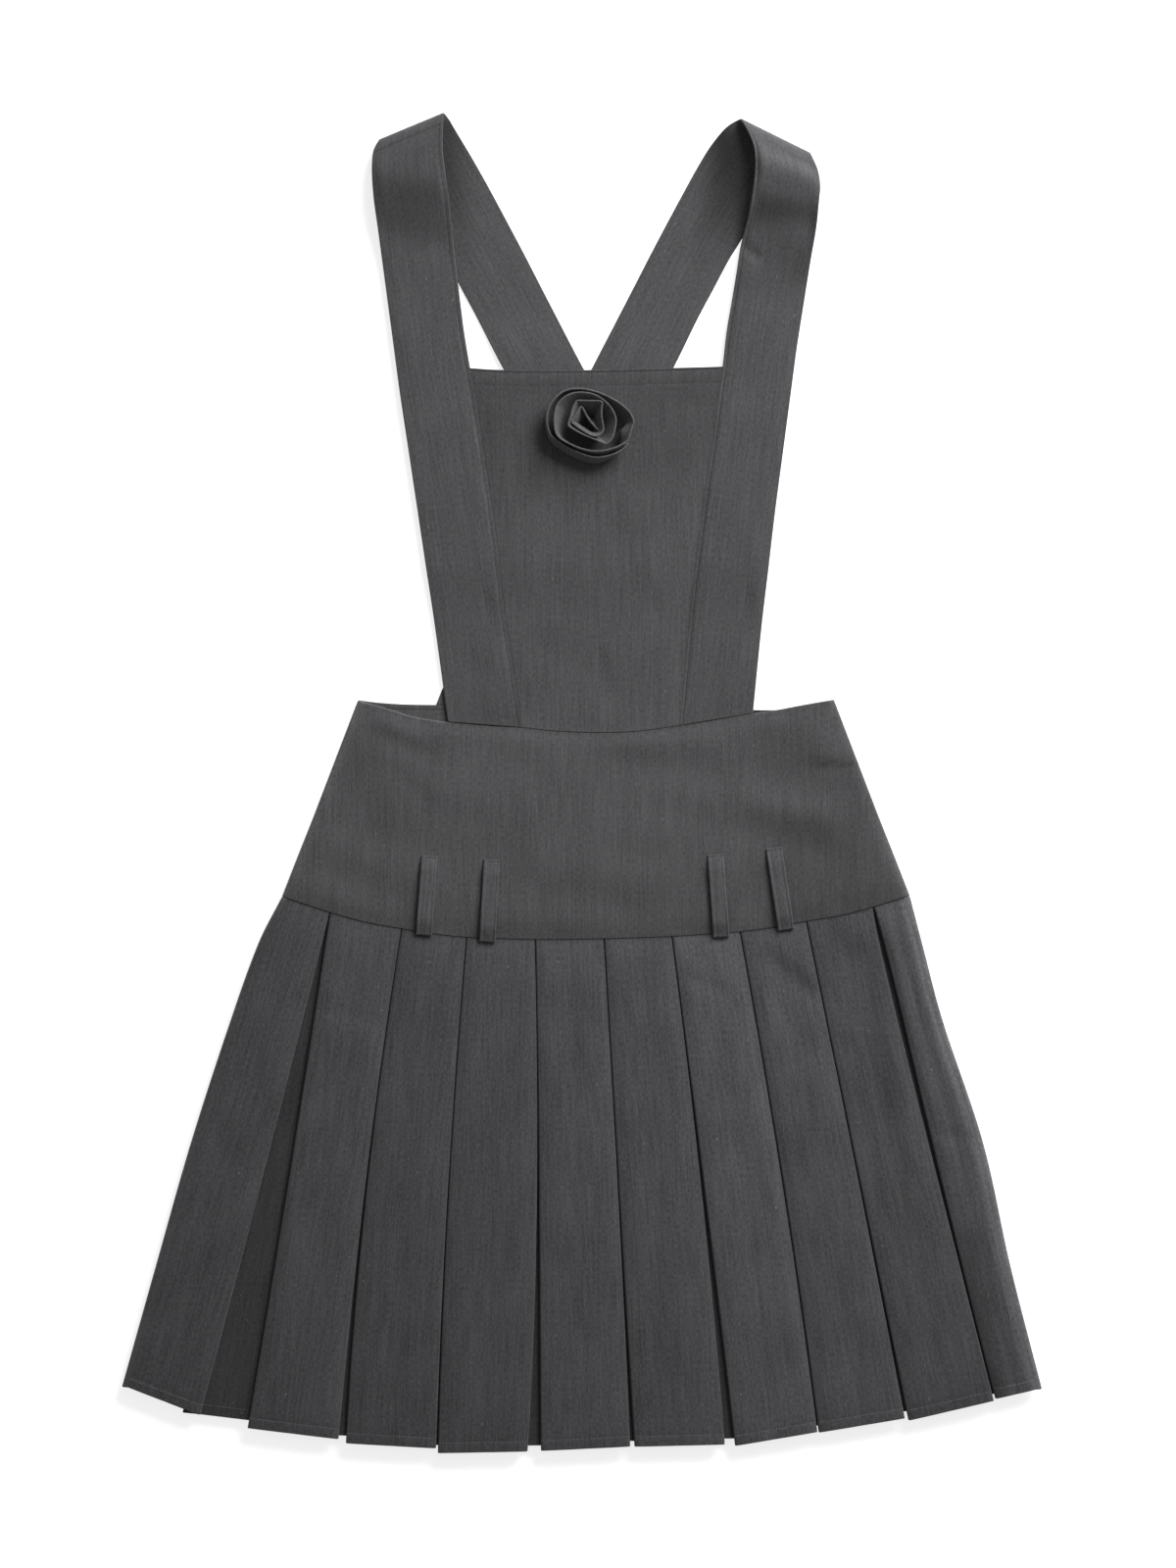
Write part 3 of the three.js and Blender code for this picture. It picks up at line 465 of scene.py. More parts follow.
def bib_point(u, v):
    top_x = mix(bib_left_x(BIB_TOP_Y), bib_right_x(BIB_TOP_Y), u)
    foot_x = mix(bib_left_x(BIB_FOOT_Y), bib_right_x(BIB_FOOT_Y), u)
    y = mix(waist_y(foot_x) + HALF_GAP - SEAM_LAP, bib_top_y(top_x), v)
    x = mix(bib_left_x(y) - BIB_SIDE_LAP, bib_right_x(y) + BIB_SIDE_LAP, u)
    from_top = bib_top_y(x) - y
    edge = min(x - bib_left_x(y), bib_right_x(y) - x, y - waist_y(x))
    loose = smooth(edge / BIB_FLAT_BY_SEAM) * smooth(from_top / BIB_FLAT_BY_TOP)
    rise = loose * (waves(x, y, 3) + folds_at(BIB_FOLDS, x, y))
    rise += sewn_dip(from_top - BIB_TOPSTITCH) + sewn_dip(from_top - BIB_TURNING, BIB_TURNING_DIP)
    return Vector((x, y, bib_height(y) + HALF_WALL + rise))


# Painted light and shade of the bib: darker higher up and beside its seams, lighter along its foot.
def bib_tone(x, y):
    side = min(x - bib_left_x(y), bib_right_x(y) - x)
    from_foot = y - waist_y(x)
    upper = mix(1.0, BIB_UPPER_SHADE, smooth((y - BIB_UPPER_Y[0]) / BIB_UPPER_Y[1]))
    lit_foot = 1 + BIB_FOOT_LIGHT * hill(from_foot, BIB_FOOT_LIGHT_REACH)
    return upper * lit_foot * painted_shade_near(side, BIB_SIDE_SEAM_SHADE) * painted_shade_near(from_foot, WAIST_SEAM_SHADE)


bib_rows = stations(BIB_SIZE[1], 3.6 * MM, [BIB_SIZE[1] - BIB_TOPSTITCH, BIB_SIZE[1] - BIB_TURNING])
bib_columns = stations(BIB_SIZE[0], 3.2 * MM)
bib_middle = [[bib_point(u, v) for u in bib_columns] for v in bib_rows]
bib_flat = [[(p.x, p.y) for p in row] for row in bib_middle]
bib_tones = [[bib_tone(x, y) for x, y in row] for row in bib_flat]
bib = cloth_shell("bib_centre_cloth", bib_middle, bib_flat, tones=bib_tones)
bib_suiting = suiting("bib_suiting", (0.122, 0.122, 0.127), (0.052, 0.052, 0.055))
# Painted shade: the topstitching thread is darker than the cloth, for the shade of the stitches sunk into
# it.
dark_thread = thread("dark_thread", (0.012, 0.012, 0.013))
finish_cloth(bib, bib_suiting, ["bib_centre"])
bib_top_line = stitch_line(
    bib_left_x(BIB_TOP_Y) + 2 * MM, bib_right_x(BIB_TOP_Y) - 2 * MM, 86,
    lambda x, share: bib_top_y(x) - BIB_TOPSTITCH,
)
bib_top_row = sew("bib_top_topstitch", bib, [bib_top_line], dark_thread, 0.75 * MM)


# Front straps. One band each of the same suiting: side panel of the bib from the waist up, then
# strap to the shoulder seam. The inner edge is topstitched all along, beside the bib seam too.
# The edges run from the waist to the tip of the shoulder, then those of the back part down.
LEFT_OUTER = [
    (-90, 34), (-99.7, 105.3), (-105.7, 145.3), (-111.7, 185.3), (-117.7, 225.3), (-123.7, 265.3),
    (-127.7, 295.3), (-131.7, 325.3), (-135.7, 355.3), (-138.3, 375.3), (-141, 395.3),
    (-142.3, 413), (-141.9, 425.3), (-140.5, 431), (-137, 437),
]
LEFT_INNER = BIB_LEFT_SEAM + [
    (-79.7, 305.3), (-82.3, 325.3), (-86.5, 360), (-89.7, 392), (-92.3, 412), (-94.3, 430.7),
    (-93.7, 455),
]
RIGHT_OUTER = [
    (115.2, 34), (122.3, 105.3), (127, 145.3), (131.7, 185.3), (137, 225.3), (142.3, 265.3),
    (146.3, 295.3), (151, 325.3), (155.7, 355.3), (159, 375.3), (161, 395.3), (161.7, 404),
    (160, 415.3), (155, 427.3),
]
RIGHT_INNER = BIB_RIGHT_SEAM + [
    (98.3, 305.3), (101.7, 325.3), (105, 345.3), (108.2, 365.3), (113.2, 385.3), (116.5, 405.3),
    (117.7, 420), (116.3, 432), (112.3, 442), (107.7, 450.7),
]
LEFT_BACK_UPPER = [
    (-93.7, 455), (-91, 452), (-87, 445.3), (-81, 435.3), (-75, 425.3), (-63.7, 405.3),
    (-42.3, 365.3), (-21.7, 325.3), (-1, 285.3), (32.3, 224), (76.7, 130), (111.6, 52),
]
LEFT_BACK_LOWER = [
    (-137, 437), (-129.5, 423), (-114.3, 396), (-99.3, 368), (-81.7, 335.3), (-71, 315.3),
    (-55.7, 285.3), (-22.3, 224), (24.5, 130), (59.5, 52),
]
RIGHT_BACK_UPPER = [
    (107.7, 450.7), (103.5, 449), (97.7, 444.8), (89.7, 435.3), (83, 425.3), (71.7, 405.3),
    (50.3, 365.3), (29.7, 325.3), (9, 285.3), (-22.3, 224), (-63, 130), (-94, 65), (-99.3, 52),
]
RIGHT_BACK_LOWER = [
    (155, 427.3), (144, 416), (125.5, 395), (107.5, 367), (100.3, 355.3), (89.7, 335.3),
    (79, 315.3), (64.3, 285.3), (32.3, 224), (-11.5, 130), (-46, 52),
]
BACK_WAIST_EDGE = [
    (-152.3, 55.7), (-138.3, 54), (-115.7, 52.7), (-39.7, 52.3), (11, 51.3), (71, 50.3),
    (132.3, 49), (151, 51.2), (171.7, 55.4),
]
LAYER_PITCH = CLOTH_WALL + SEAM_GAP
STRAP_WIDTH = 50 * MM
STRAP_TOPSTITCH = 2.7 * MM
LOOP_RISE = 85 * MM
LOOP_CREST = 33 * MM
LOOP_RETURN = 40 * MM
SHOULDER_SEAM = 8 * MM
FRONT_FOOT_Y = (42 * MM, 38 * MM)
BACK_FOOT_Y = 52 * MM
FRONT_STOPS = 160
BACK_STOPS = 200
CROSSING_RISE = (112 * MM, 40 * MM)
CROSSING_FALL = (322 * MM, 34 * MM)
SHOULDER_LAP = 0.5 * MM
LOWEST_LOOP_Y = 250 * MM
STRAP_SEWN_REACH = 14 * MM
# Shaded stretches of each strap: y of the darkest place, half width and depth.
STRAP_SHADES = {"left": [(396, 20, 0.21)], "right": [(385, 13, 0.42), (342, 14, 0.22)]}
# Painted shade over the upper left strap and painted light over the upper right one, a painted highlight
# along the rolled inner edge and painted shade at the shoulder seam.
UPPER_STRAP_SHADING = {"left": 0.86, "right": 1.1}
UPPER_STRAP_Y = (300 * MM, 80 * MM)
ROLLED_EDGE_LIGHT = 0.25
ROLLED_EDGE_REACH = 0.8 * MM
SHOULDER_SEAM_SHADES = {"left": 0.32, "right": 0.0}
SHOULDER_SEAM_FADE = (5 * MM, 9 * MM)
STRAP_FOLDS = {
    "left": [
        (-142, 411, -96, 406, 11, 1.3), (-138, 374, -92, 366, 13, -1.1), (-120, 300, -96, 250, 12, 0.35),
        (-96, 96, -70, 74, 9, -0.35),
    ],
    "right": [
        (106, 367, 119, 357, 2.2, -1.2), (112, 422, 162, 408, 9, 2.2), (106, 388, 160, 382, 13, -2.4),
        (110, 180, 125, 120, 12, 0.4),
    ],
}


class Shoulder:
    """The turned end of a strap: its tip runs from the outer to the inner end of a fold line."""

    def __init__(self, outer_end, inner_end, crest_z, tip_radius):
        self.outer_end = Vector(outer_end) * MM
        self.inner_end = Vector(inner_end) * MM
        self.crest_z = crest_z * MM
        self.tip_radius = tip_radius * MM
        along = (self.inner_end - self.outer_end).normalized()
        self.out = Vector((-along.y, along.x)) * (1 if along.x > 0 else -1)

    def before_tip(self, point):
        return (point - self.inner_end).dot(self.out)

    def on_edge(self, edge_x, distance, top):
        """The point of an edge, given as x by y, at a distance before the tip."""
        low, high = LOWEST_LOOP_Y, top.y
        for _ in range(40):
            y = (low + high) / 2
            if self.before_tip(Vector((edge_x(y), y))) < distance:
                low = y
            else:
                high = y
        return Vector((edge_x(low), low))

    def profile(self):
        """Side view of the loop: distance before the tip, height and outward direction. The
        strap rises to its crest, bends down to the tip and comes back on the surface."""
        front = BIB_OVER_STRAPS_Z + HALF_WALL
        tip_z = HALF_WALL + self.tip_radius
        drop = self.crest_z - tip_z
        climb = LOOP_RISE - LOOP_CREST
        stops = []
        for k in range(41):
            t = k / 40
            slope = 6 * t * (1 - t) * (self.crest_z - front) / climb
            z = mix(front, self.crest_z, smooth(t))
            stops.append((-LOOP_RISE + climb * t, z, -slope, 1.0))
        for k in range(1, 31):
            angle = math.pi / 2 * k / 30
            across, up = math.sin(angle), math.cos(angle)
            stops.append((-LOOP_CREST * (1 - across), tip_z + drop * up, across * drop, up * LOOP_CREST))
        for k in range(1, 9):
            angle = math.pi / 2 * (1 + k / 8)
            across, up = math.sin(angle), math.cos(angle)
            stops.append((-self.tip_radius * (1 - across), tip_z + self.tip_radius * up, across, up))
        for k in range(1, 21):
            stops.append((-self.tip_radius - LOOP_RETURN * k / 20, HALF_WALL, 0.0, -1.0))
        return stops


def strap_stops(shoulder, outer, inner, lower, upper, crosses_over):
    """The whole band as close rows, from the front waist over the shoulder to the back waist:
    outer and inner point, height (None where it lies as the bib does) and outward direction."""
    outer_x, inner_x, lower_x, upper_x = (x_curve(edge) for edge in (outer, inner, lower, upper))
    back_y = y_curve(BACK_WAIST_EDGE)
    foot_gap = HALF_GAP - SEAM_LAP
    foot = (
        waist_y(outer_x(FRONT_FOOT_Y[0])) + foot_gap,
        waist_y(inner_x(FRONT_FOOT_Y[1])) + foot_gap,
    )
    start = (
        shoulder.on_edge(outer_x, -LOOP_RISE, shoulder.outer_end),
        shoulder.on_edge(inner_x, -LOOP_RISE, shoulder.inner_end),
    )
    stops = []
    for k in range(FRONT_STOPS):
        v = k / FRONT_STOPS
        outer_y, inner_y = mix(foot[0], start[0].y, v), mix(foot[1], start[1].y, v)
        out_point = Vector((outer_x(outer_y), outer_y))
        in_point = Vector((inner_x(inner_y), inner_y))
        stops.append((out_point, in_point, None, (0.0, 1.0), None))
    for b, z, facing_b, facing_z in shoulder.profile():
        over_tip = facing_z < 0
        outer_edge, inner_edge = (lower_x, upper_x) if over_tip else (outer_x, inner_x)
        out_point = shoulder.on_edge(outer_edge, b, shoulder.outer_end)
        in_point = shoulder.on_edge(inner_edge, b, shoulder.inner_end)
        stops.append((out_point, in_point, z, (facing_b, facing_z), b))
    start = stops[-1]
    end = (back_y(lower_x(BACK_FOOT_Y)) - SEAM_LAP, back_y(upper_x(BACK_FOOT_Y)) - SEAM_LAP)
    for k in range(1, BACK_STOPS + 1):
        v = k / BACK_STOPS
        lower_y, upper_y = mix(start[0].y, end[0], v), mix(start[1].y, end[1], v)
        middle_y = (lower_y + upper_y) / 2
        lifted = min(
            smooth((middle_y - CROSSING_RISE[0]) / CROSSING_RISE[1]),
            smooth((CROSSING_FALL[0] - middle_y) / CROSSING_FALL[1]),
        )
        z = HALF_WALL + (LAYER_PITCH * lifted if crosses_over else 0.0)
        lower_point = Vector((lower_x(lower_y), lower_y))
        upper_point = Vector((upper_x(upper_y), upper_y))
        stops.append((lower_point, upper_point, z, (0.0, -1.0), None))
    return stops


def strap_lengths(stops):
    """Length along the band's middle at each stop."""
    lengths = [0.0]
    for before, after in zip(stops, stops[1:]):
        middle = [(s[0] + s[1]) / 2 for s in (before, after)]
        climb = (after[2] or 0) - (before[2] or 0) if before[2] is not None else 0
        lengths.append(lengths[-1] + math.hypot((middle[1] - middle[0]).length, climb))
    return lengths


def strap_piece(name, shoulder, stops, lengths, start, end, rise_at, tone_at, lines):
    """Cloth of one strap between two lengths along it."""
    middle, flat, tones = [], [], []
    shares = stations(STRAP_WIDTH, 2.6 * MM, lines)
    left_first = stops[0][0].x < stops[0][1].x
    k = 0
    for share in stations(end - start, 3.2 * MM):
        length = mix(start, end, share)
        while k < len(stops) - 2 and length > lengths[k + 1]:
            k += 1
        t = (length - lengths[k]) / (lengths[k + 1] - lengths[k])
        low, high = stops[k], stops[k + 1]
        sides = [low[i].lerp(high[i], t) for i in (0, 1)]
        if not left_first:
            sides.reverse()
        facing = (mix(low[3][0], high[3][0], t), mix(low[3][1], high[3][1], t))
        outward = Vector((shoulder.out.x * facing[0], shoulder.out.y * facing[0], facing[1])).normalized()
        row, cut, shade = [], [], []
        for u in shares:
            spot = sides[0].lerp(sides[1], u)
            heights = [bib_height(spot.y) + HALF_WALL if s[2] is None else s[2] for s in (low, high)]
            base = Vector((spot.x, spot.y, mix(heights[0], heights[1], t)))
            row.append(base + outward * rise_at(u, length, spot))
            cut.append(((u - 0.5) * (sides[1] - sides[0]).length, length))
            shade.append(tone_at(u, length, spot))
        middle.append(row)
        flat.append(cut)
        tones.append(shade)
    return cloth_shell(name, middle, flat, tones=tones)


def band_edge(u):
    """Distance of a share of the strap's width from its nearer edge."""
    return min(u, 1 - u) * STRAP_WIDTH


straps = {
    "left": {
        "shoulder": Shoulder((-137, 437), (-93.7, 455), 10.5, 2.2),
        "edges": (LEFT_OUTER, LEFT_INNER, LEFT_BACK_LOWER, LEFT_BACK_UPPER),
        "crosses_over": True,
        "stitch_share": 1 - STRAP_TOPSTITCH / STRAP_WIDTH,
        "seed": 21,
    },
    "right": {
        "shoulder": Shoulder((155, 427.3), (107.7, 450.7), 14, 3.4),
        "edges": (RIGHT_OUTER, RIGHT_INNER, RIGHT_BACK_LOWER, RIGHT_BACK_UPPER),
        "crosses_over": False,
        "stitch_share": STRAP_TOPSTITCH / STRAP_WIDTH,
        "seed": 34,
    },
}
strap_suiting = suiting("strap_suiting", (0.12, 0.12, 0.125), (0.05, 0.05, 0.053))
# Painted shade: the strap's topstitching thread is darker than the cloth, for the shade of the stitches
# sunk into it.
strap_thread = thread("strap_thread", (0.026, 0.026, 0.028))
for side, strap in straps.items():
    shoulder = strap["shoulder"]
    stops = strap_stops(shoulder, *strap["edges"], strap["crosses_over"])
    lengths = strap_lengths(stops)
    seam_index = next(k for k, s in enumerate(stops) if s[4] is not None and s[4] > -SHOULDER_SEAM)
    strap.update(stops=stops, lengths=lengths, seam=lengths[seam_index])

    def front_rise(u, length, spot, strap=strap, side=side):
        loose = smooth(band_edge(u) / (6 * MM)) * smooth(length / STRAP_SEWN_REACH)
        loose *= smooth((strap["seam"] - length) / STRAP_SEWN_REACH)
        rise = loose * (waves(spot.x, spot.y, strap["seed"]) + folds_at(STRAP_FOLDS[side], spot.x, spot.y))
        return rise + sewn_dip((u - strap["stitch_share"]) * STRAP_WIDTH)

    # Painted light and shade of a front strap: shade at its seams and in bands, a highlight on its rolled
    # edge, and its upper part darker or lighter.
    def front_tone(u, length, spot, strap=strap, side=side):
        inner = (1 - u if strap["stitch_share"] > 0.5 else u) * STRAP_WIDTH
        tone = painted_shade_near(length, WAIST_SEAM_SHADE)
        if spot.y > BIB_TOP_Y:
            tone *= 1 + ROLLED_EDGE_LIGHT * hill(inner, ROLLED_EDGE_REACH)
        else:
            tone *= painted_shade_near(inner, BIB_SIDE_SEAM_SHADE)
        for shade_y, half_width, depth in STRAP_SHADES[side]:
            tone *= painted_shade_near(spot.y - shade_y * MM, depth, half_width)
        upper = smooth((spot.y - UPPER_STRAP_Y[0]) / UPPER_STRAP_Y[1])
        seam_share = smooth((inner - SHOULDER_SEAM_FADE[0]) / SHOULDER_SEAM_FADE[1])
        at_shoulder = painted_shade_near(strap["seam"] - length, SHOULDER_SEAM_SHADES[side] * seam_share)
        return tone * mix(1.0, UPPER_STRAP_SHADING[side], upper) * at_shoulder

    front = strap_piece(
        f"strap_front_{side}_cloth", shoulder, stops, lengths, 0.0, strap["seam"] + SHOULDER_LAP,
        front_rise, front_tone, [strap["stitch_share"] * STRAP_WIDTH],
    )
    finish_cloth(front, strap_suiting, [f"strap_front_{side}"])
    line = []
    for stop, length in zip(stops, lengths):
        if 1.5 * MM < length < strap["seam"] - 1.5 * MM:
            spot = stop[1] + (stop[0] - stop[1]).normalized() * STRAP_TOPSTITCH
            line.append((spot.x, spot.y))
    row = sew(f"strap_{side}_topstitch", front, [line], strap_thread, 0.65 * MM)


# Back straps. Two plain bands from the shoulder seams, crossing behind the bib and sewn to the
# back waist edge. What shows of them from the front is their inner side.
# The hollow inside each loop: depth of its shade, how far its darkest place lies from the front
# strap's inner edge, and its reach.
HOLLOW_SHADES = {"left": (0.55, 2, 14), "right": (0.78, 19, 17)}
HOLLOW_Y = (325 * MM, 110 * MM)
HOLLOW_FROM_SEAM = 16 * MM
# Painted shade on the left back strap just past its shoulder seam.
LEFT_BEND_SHADE = 0.82
LEFT_BEND_LENGTH = 14 * MM
back_strap_suiting = suiting("back_strap_suiting", (0.124, 0.124, 0.129), (0.053, 0.053, 0.056))
for side, strap in straps.items():

    def back_rise(u, length, spot, strap=strap):
        edge = min(length - strap["seam"], strap["lengths"][-1] - length)
        loose = smooth(band_edge(u) / (9 * MM)) * smooth((edge - 12 * MM) / (30 * MM))
        return -loose * waves(spot.x, spot.y, strap["seed"] + 5, 0.12, 0.04)

    def back_tone(u, length, spot, strap=strap, side=side):
        """Painted shade, darker where the strap lies in the hollow of its shoulder loop, beside its
        shoulder seam and, on the left, in the bend past it.
        """
        depth, deepest, reach = HOLLOW_SHADES[side]
        beside = abs(spot.x - x_curve(strap["edges"][1])(spot.y))
        from_seam = length - strap["seam"]
        tone = painted_shade_near(from_seam, SHOULDER_SEAM_SHADES[side])
        if from_seam > HOLLOW_FROM_SEAM:
            inside = smooth((spot.y - HOLLOW_Y[0]) / HOLLOW_Y[1])
            tone *= 1 - depth * inside * hill(beside - deepest * MM, reach * MM)
        if side == "left" and from_seam < LEFT_BEND_LENGTH:
            tone *= LEFT_BEND_SHADE
        return tone

    back = strap_piece(
        f"strap_back_{side}_cloth", strap["shoulder"], strap["stops"], strap["lengths"],
        strap["seam"] - SHOULDER_LAP, strap["lengths"][-1], back_rise, back_tone, [],
    )
    finish_cloth(back, back_strap_suiting, [f"strap_back_{side}"])


# Hip yoke. A front and a back panel from the waist to the hip seam, sewn together at the sides.
# The free stretches of the waist edge are rolled in and, at the back, topstitched in dark thread.
HIP_SEAM = [
    (-203.7, -78), (-171, -88.7), (-147, -95.3), (-122.3, -99.7), (-101, -103.1), (-81, -105.3),
    (-31.7, -107), (15, -106.5), (61, -104.9), (107.3, -101.7), (133, -98.3), (152.3, -94.7),
    (177.7, -90.4), (197.7, -85.1), (223, -77.3),
]
YOKE_WAIST_X = (-152.3 * MM, 171.7 * MM)
YOKE_HIP_X = (-203.7 * MM, 223 * MM)
YOKE_SLOPE = 62 * MM
SKIRT_FACE_Z = 5 * LAYER_PITCH
YOKE_TURN_REACH = (1.5 * MM, 5 * MM)
BACK_TOPSTITCH = 3 * MM
BIB_MIDDLE_X = 12.6 * MM
BIB_FOOT_REACH = 103 * MM
YOKE_FOLDS = [
    (-134, 40, -112, 30, 6, 0.9), (-138, 31, -108, 20, 8, -0.7), (158, 10, 187, 11, 2.2, -0.8),
    (150, 20, 186, 18, 6, 0.4), (126, 42, 160, 30, 10, 0.8), (118, 10, 180, -4, 14, -1.1),
    (116, -14, 168, -24, 8, 0.9), (112, -34, 166, -46, 11, -0.9), (-24, -54, 40, -66, 13, 0.9),
    (-26, -78, 40, -88, 10, -0.6), (173, -80, 184, -91, 2.6, -0.9), (-186, -58, -130, -76, 11, -0.8),
    (-180, -34, -140, -52, 12, 0.7), (-128, 8, -104, -14, 5, -0.4), (20, 14, 92, 4, 11, -0.8),
    (30, 30, 90, 26, 9, 0.6), (-90, -8, -40, -20, 13, 0.8), (-60, 22, -30, 4, 11, -0.5),
    (60, -20, 104, -34, 11, -0.6), (-108, -66, -60, -84, 9, 0.5),
]
# Painted light and shade on the yoke: soft patches, shade low down and to the right, light on its sides and
# free waist edges, shade along the hip seam and on the back sliver.
YOKE_SHADES = [
    (-150, 22, -136, -22, 22, -0.13), (162, 11.5, 186, 12.5, 1.8, -0.28), (140, -36, 172, -44, 9, -0.1),
    (112, -92, 128, -96, 7, 0.2),
]
YOKE_LOW_SHADE = 0.82
YOKE_LOW_BELOW_TOP = (60 * MM, 50 * MM)
YOKE_RIGHT_SHADE = 0.88
YOKE_RIGHT_X = (90 * MM, 60 * MM)
WAIST_EDGE_LIGHT = 0.45
WAIST_EDGE_REACH = 1.1 * MM
YOKE_SIDE_LIGHT = 0.4
YOKE_SIDE_REACH = 4.5 * MM
HIP_SEAM_SHADE = 0.6
BACK_SLIVER_SHADES = (0.95, 0.4)
BACK_SLIVER_X = (95 * MM, 15 * MM)
hip_y = y_curve(HIP_SEAM)
back_waist_y = y_curve(BACK_WAIST_EDGE)


def yoke_height(v):
    """Lower face of the front yoke, which climbs on to the pleats from waist (0) to hip (1)."""
    above_seam = (waist_y(0) - hip_y(0)) * (1 - v)
    return mix(SKIRT_FACE_Z, FRONT_WAIST_Z, smooth(above_seam / YOKE_SLOPE))


def side_meeting(v):
    """Height at which the rounded sides of the front and the back panel meet."""
    return (yoke_height(v) + CLOTH_WALL) / 2


def rounded_side(share, side_z, face_z, reach):
    """Quarter turn of a panel's side: inward distance and height at a share of the turn."""
    angle = share * math.pi / 2
    return reach * (1 - math.cos(angle)), mix(side_z, face_z, math.sin(angle))


def yoke_panel(name, top_y, face_z, side_z, rise_at, tone_at, row_lines):
    """Yoke panel with its sides turned towards the other layer."""
    turn_steps = [0, 0.12, 0.27, 0.45, 0.65, 0.85, 1]
    inner_shares = [k / 96 for k in range(97)]
    height = top_y(0) - hip_y(0)
    middle, flat, tones = [], [], []
    for share in stations(height, 3.4 * MM, row_lines):
        v = 1 - share
        left = mix(YOKE_WAIST_X[0], YOKE_HIP_X[0], v) + HALF_WALL
        right = mix(YOKE_WAIST_X[1], YOKE_HIP_X[1], v) - HALF_WALL
        reach = mix(*YOKE_TURN_REACH, smooth(v))
        turns = [rounded_side(t, side_z(v), face_z(v), reach) for t in turn_steps]
        spots = [(left + inward, z, False) for inward, z in turns[:-1]]
        spots += [(mix(left + reach, right - reach, u), face_z(v), True) for u in inner_shares]
        spots += [(right - inward, z, False) for inward, z in reversed(turns[:-1])]
        row, shade = [], []
        for x, z, on_face in spots:
            u = (x - left) / (right - left)
            top = top_y(mix(*YOKE_WAIST_X, u))
            foot = hip_y(mix(*YOKE_HIP_X, u)) - SEAM_LAP
            y = mix(top, foot, v)
            rise = rise_at(x, y, top - y, y - foot, min(x - left, right - x)) if on_face else 0.0
            row.append(Vector((x, y, z + rise)))
            shade.append(tone_at(x, y, top - y, y - foot))
        middle.append(row)
        tones.append(shade)
        lengths = [0.0]
        for before, after in zip(row, row[1:]):
            lengths.append(lengths[-1] + (after - before).length)
        centre = lengths[len(lengths) // 2]
        flat.append([(length - centre, point.y) for length, point in zip(lengths, row)])
    return cloth_shell(name, middle, flat, tones=tones)


def front_yoke_rise(x, y, from_top, from_hip, from_side):
    loose = smooth(from_top / (10 * MM)) * smooth(from_hip / (14 * MM)) * smooth(from_side / (16 * MM))
    rise = loose * (waves(x, y, 51, 0.6, 0.12) + folds_at(YOKE_FOLDS, x, y))
    return rise + 0.12 * MM * hill(from_top, 3 * MM)


def back_yoke_rise(x, y, from_top, from_hip, from_side):
    return sewn_dip(from_top - BACK_TOPSTITCH, 0.1)


def front_yoke_tone(x, y, from_top, from_hip):
    """Painted shade low down, to the right and in its seams; painted light on its sides and rolled edges.
    """
    free = smooth((abs(x - BIB_MIDDLE_X) - BIB_FOOT_REACH) / (2 * MM))
    share = from_top / (from_top + from_hip)
    from_left = x - mix(YOKE_WAIST_X[0], YOKE_HIP_X[0], share)
    from_right = mix(YOKE_WAIST_X[1], YOKE_HIP_X[1], share) - x
    low = smooth((from_top - YOKE_LOW_BELOW_TOP[0]) / YOKE_LOW_BELOW_TOP[1])
    right = smooth((x - YOKE_RIGHT_X[0]) / YOKE_RIGHT_X[1])
    tone = mix(1.0, YOKE_LOW_SHADE, low) * mix(1.0, YOKE_RIGHT_SHADE, right)
    tone *= 1 + folds_at(YOKE_SHADES, x, y) / MM
    tone *= 1 + YOKE_SIDE_LIGHT * hill(min(from_left, from_right), YOKE_SIDE_REACH)
    tone *= 1 + WAIST_EDGE_LIGHT * free * hill(from_top, WAIST_EDGE_REACH)
    return tone * painted_shade_near(from_top, WAIST_SEAM_SHADE * (1 - free)) * painted_shade_near(from_hip, HIP_SEAM_SHADE)


def back_yoke_tone(x, y, from_top, from_hip):
    """Painted shade on the sliver that shows at the right, which lies in the shade of the strap and the
    front edge.
    """
    return mix(*BACK_SLIVER_SHADES, smooth((x - BACK_SLIVER_X[0]) / BACK_SLIVER_X[1]))


yoke_suiting = suiting("yoke_suiting", (0.129, 0.129, 0.134), (0.055, 0.055, 0.058))
yoke_front = yoke_panel(
    "yoke_front_cloth", waist_y, lambda v: yoke_height(v) + HALF_WALL,
    lambda v: side_meeting(v) + HALF_GAP, front_yoke_rise, front_yoke_tone, [],
)
finish_cloth(yoke_front, yoke_suiting, ["yoke_front"])
yoke_back = yoke_panel(
    "yoke_back_cloth", back_waist_y, lambda v: HALF_WALL,
    lambda v: side_meeting(v) - HALF_GAP, back_yoke_rise, back_yoke_tone,
    [back_waist_y(0) - hip_y(0) - BACK_TOPSTITCH],
)
finish_cloth(yoke_back, yoke_suiting, ["yoke_back"])
back_line = stitch_line(
    YOKE_WAIST_X[0] + 3 * MM, YOKE_WAIST_X[1] - 3 * MM, 160,
    lambda x, share: back_waist_y(x) - BACK_TOPSTITCH,
)
back_waist_row = sew("back_waist_topstitch", yoke_back, [back_line], dark_thread, 0.65 * MM)


# Pleated skirt. One box-pleated panel in front and one behind, hanging from the hip seam. Each
# box lies over its two returns, and an underlay joins it to the next. The hem is topstitched.
SKIRT_LEFT = [(0, -203.7), (0.09, -219), (0.25, -238.3), (0.5, -265.3), (0.75, -289), (1, -312.3)]
SKIRT_RIGHT = [(0, 223), (0.1, 231.7), (0.25, 245), (0.5, 272.7), (0.75, 291.3), (1, 312.7)]
SIDE_HEM_Y = (-410.7, -412.2)
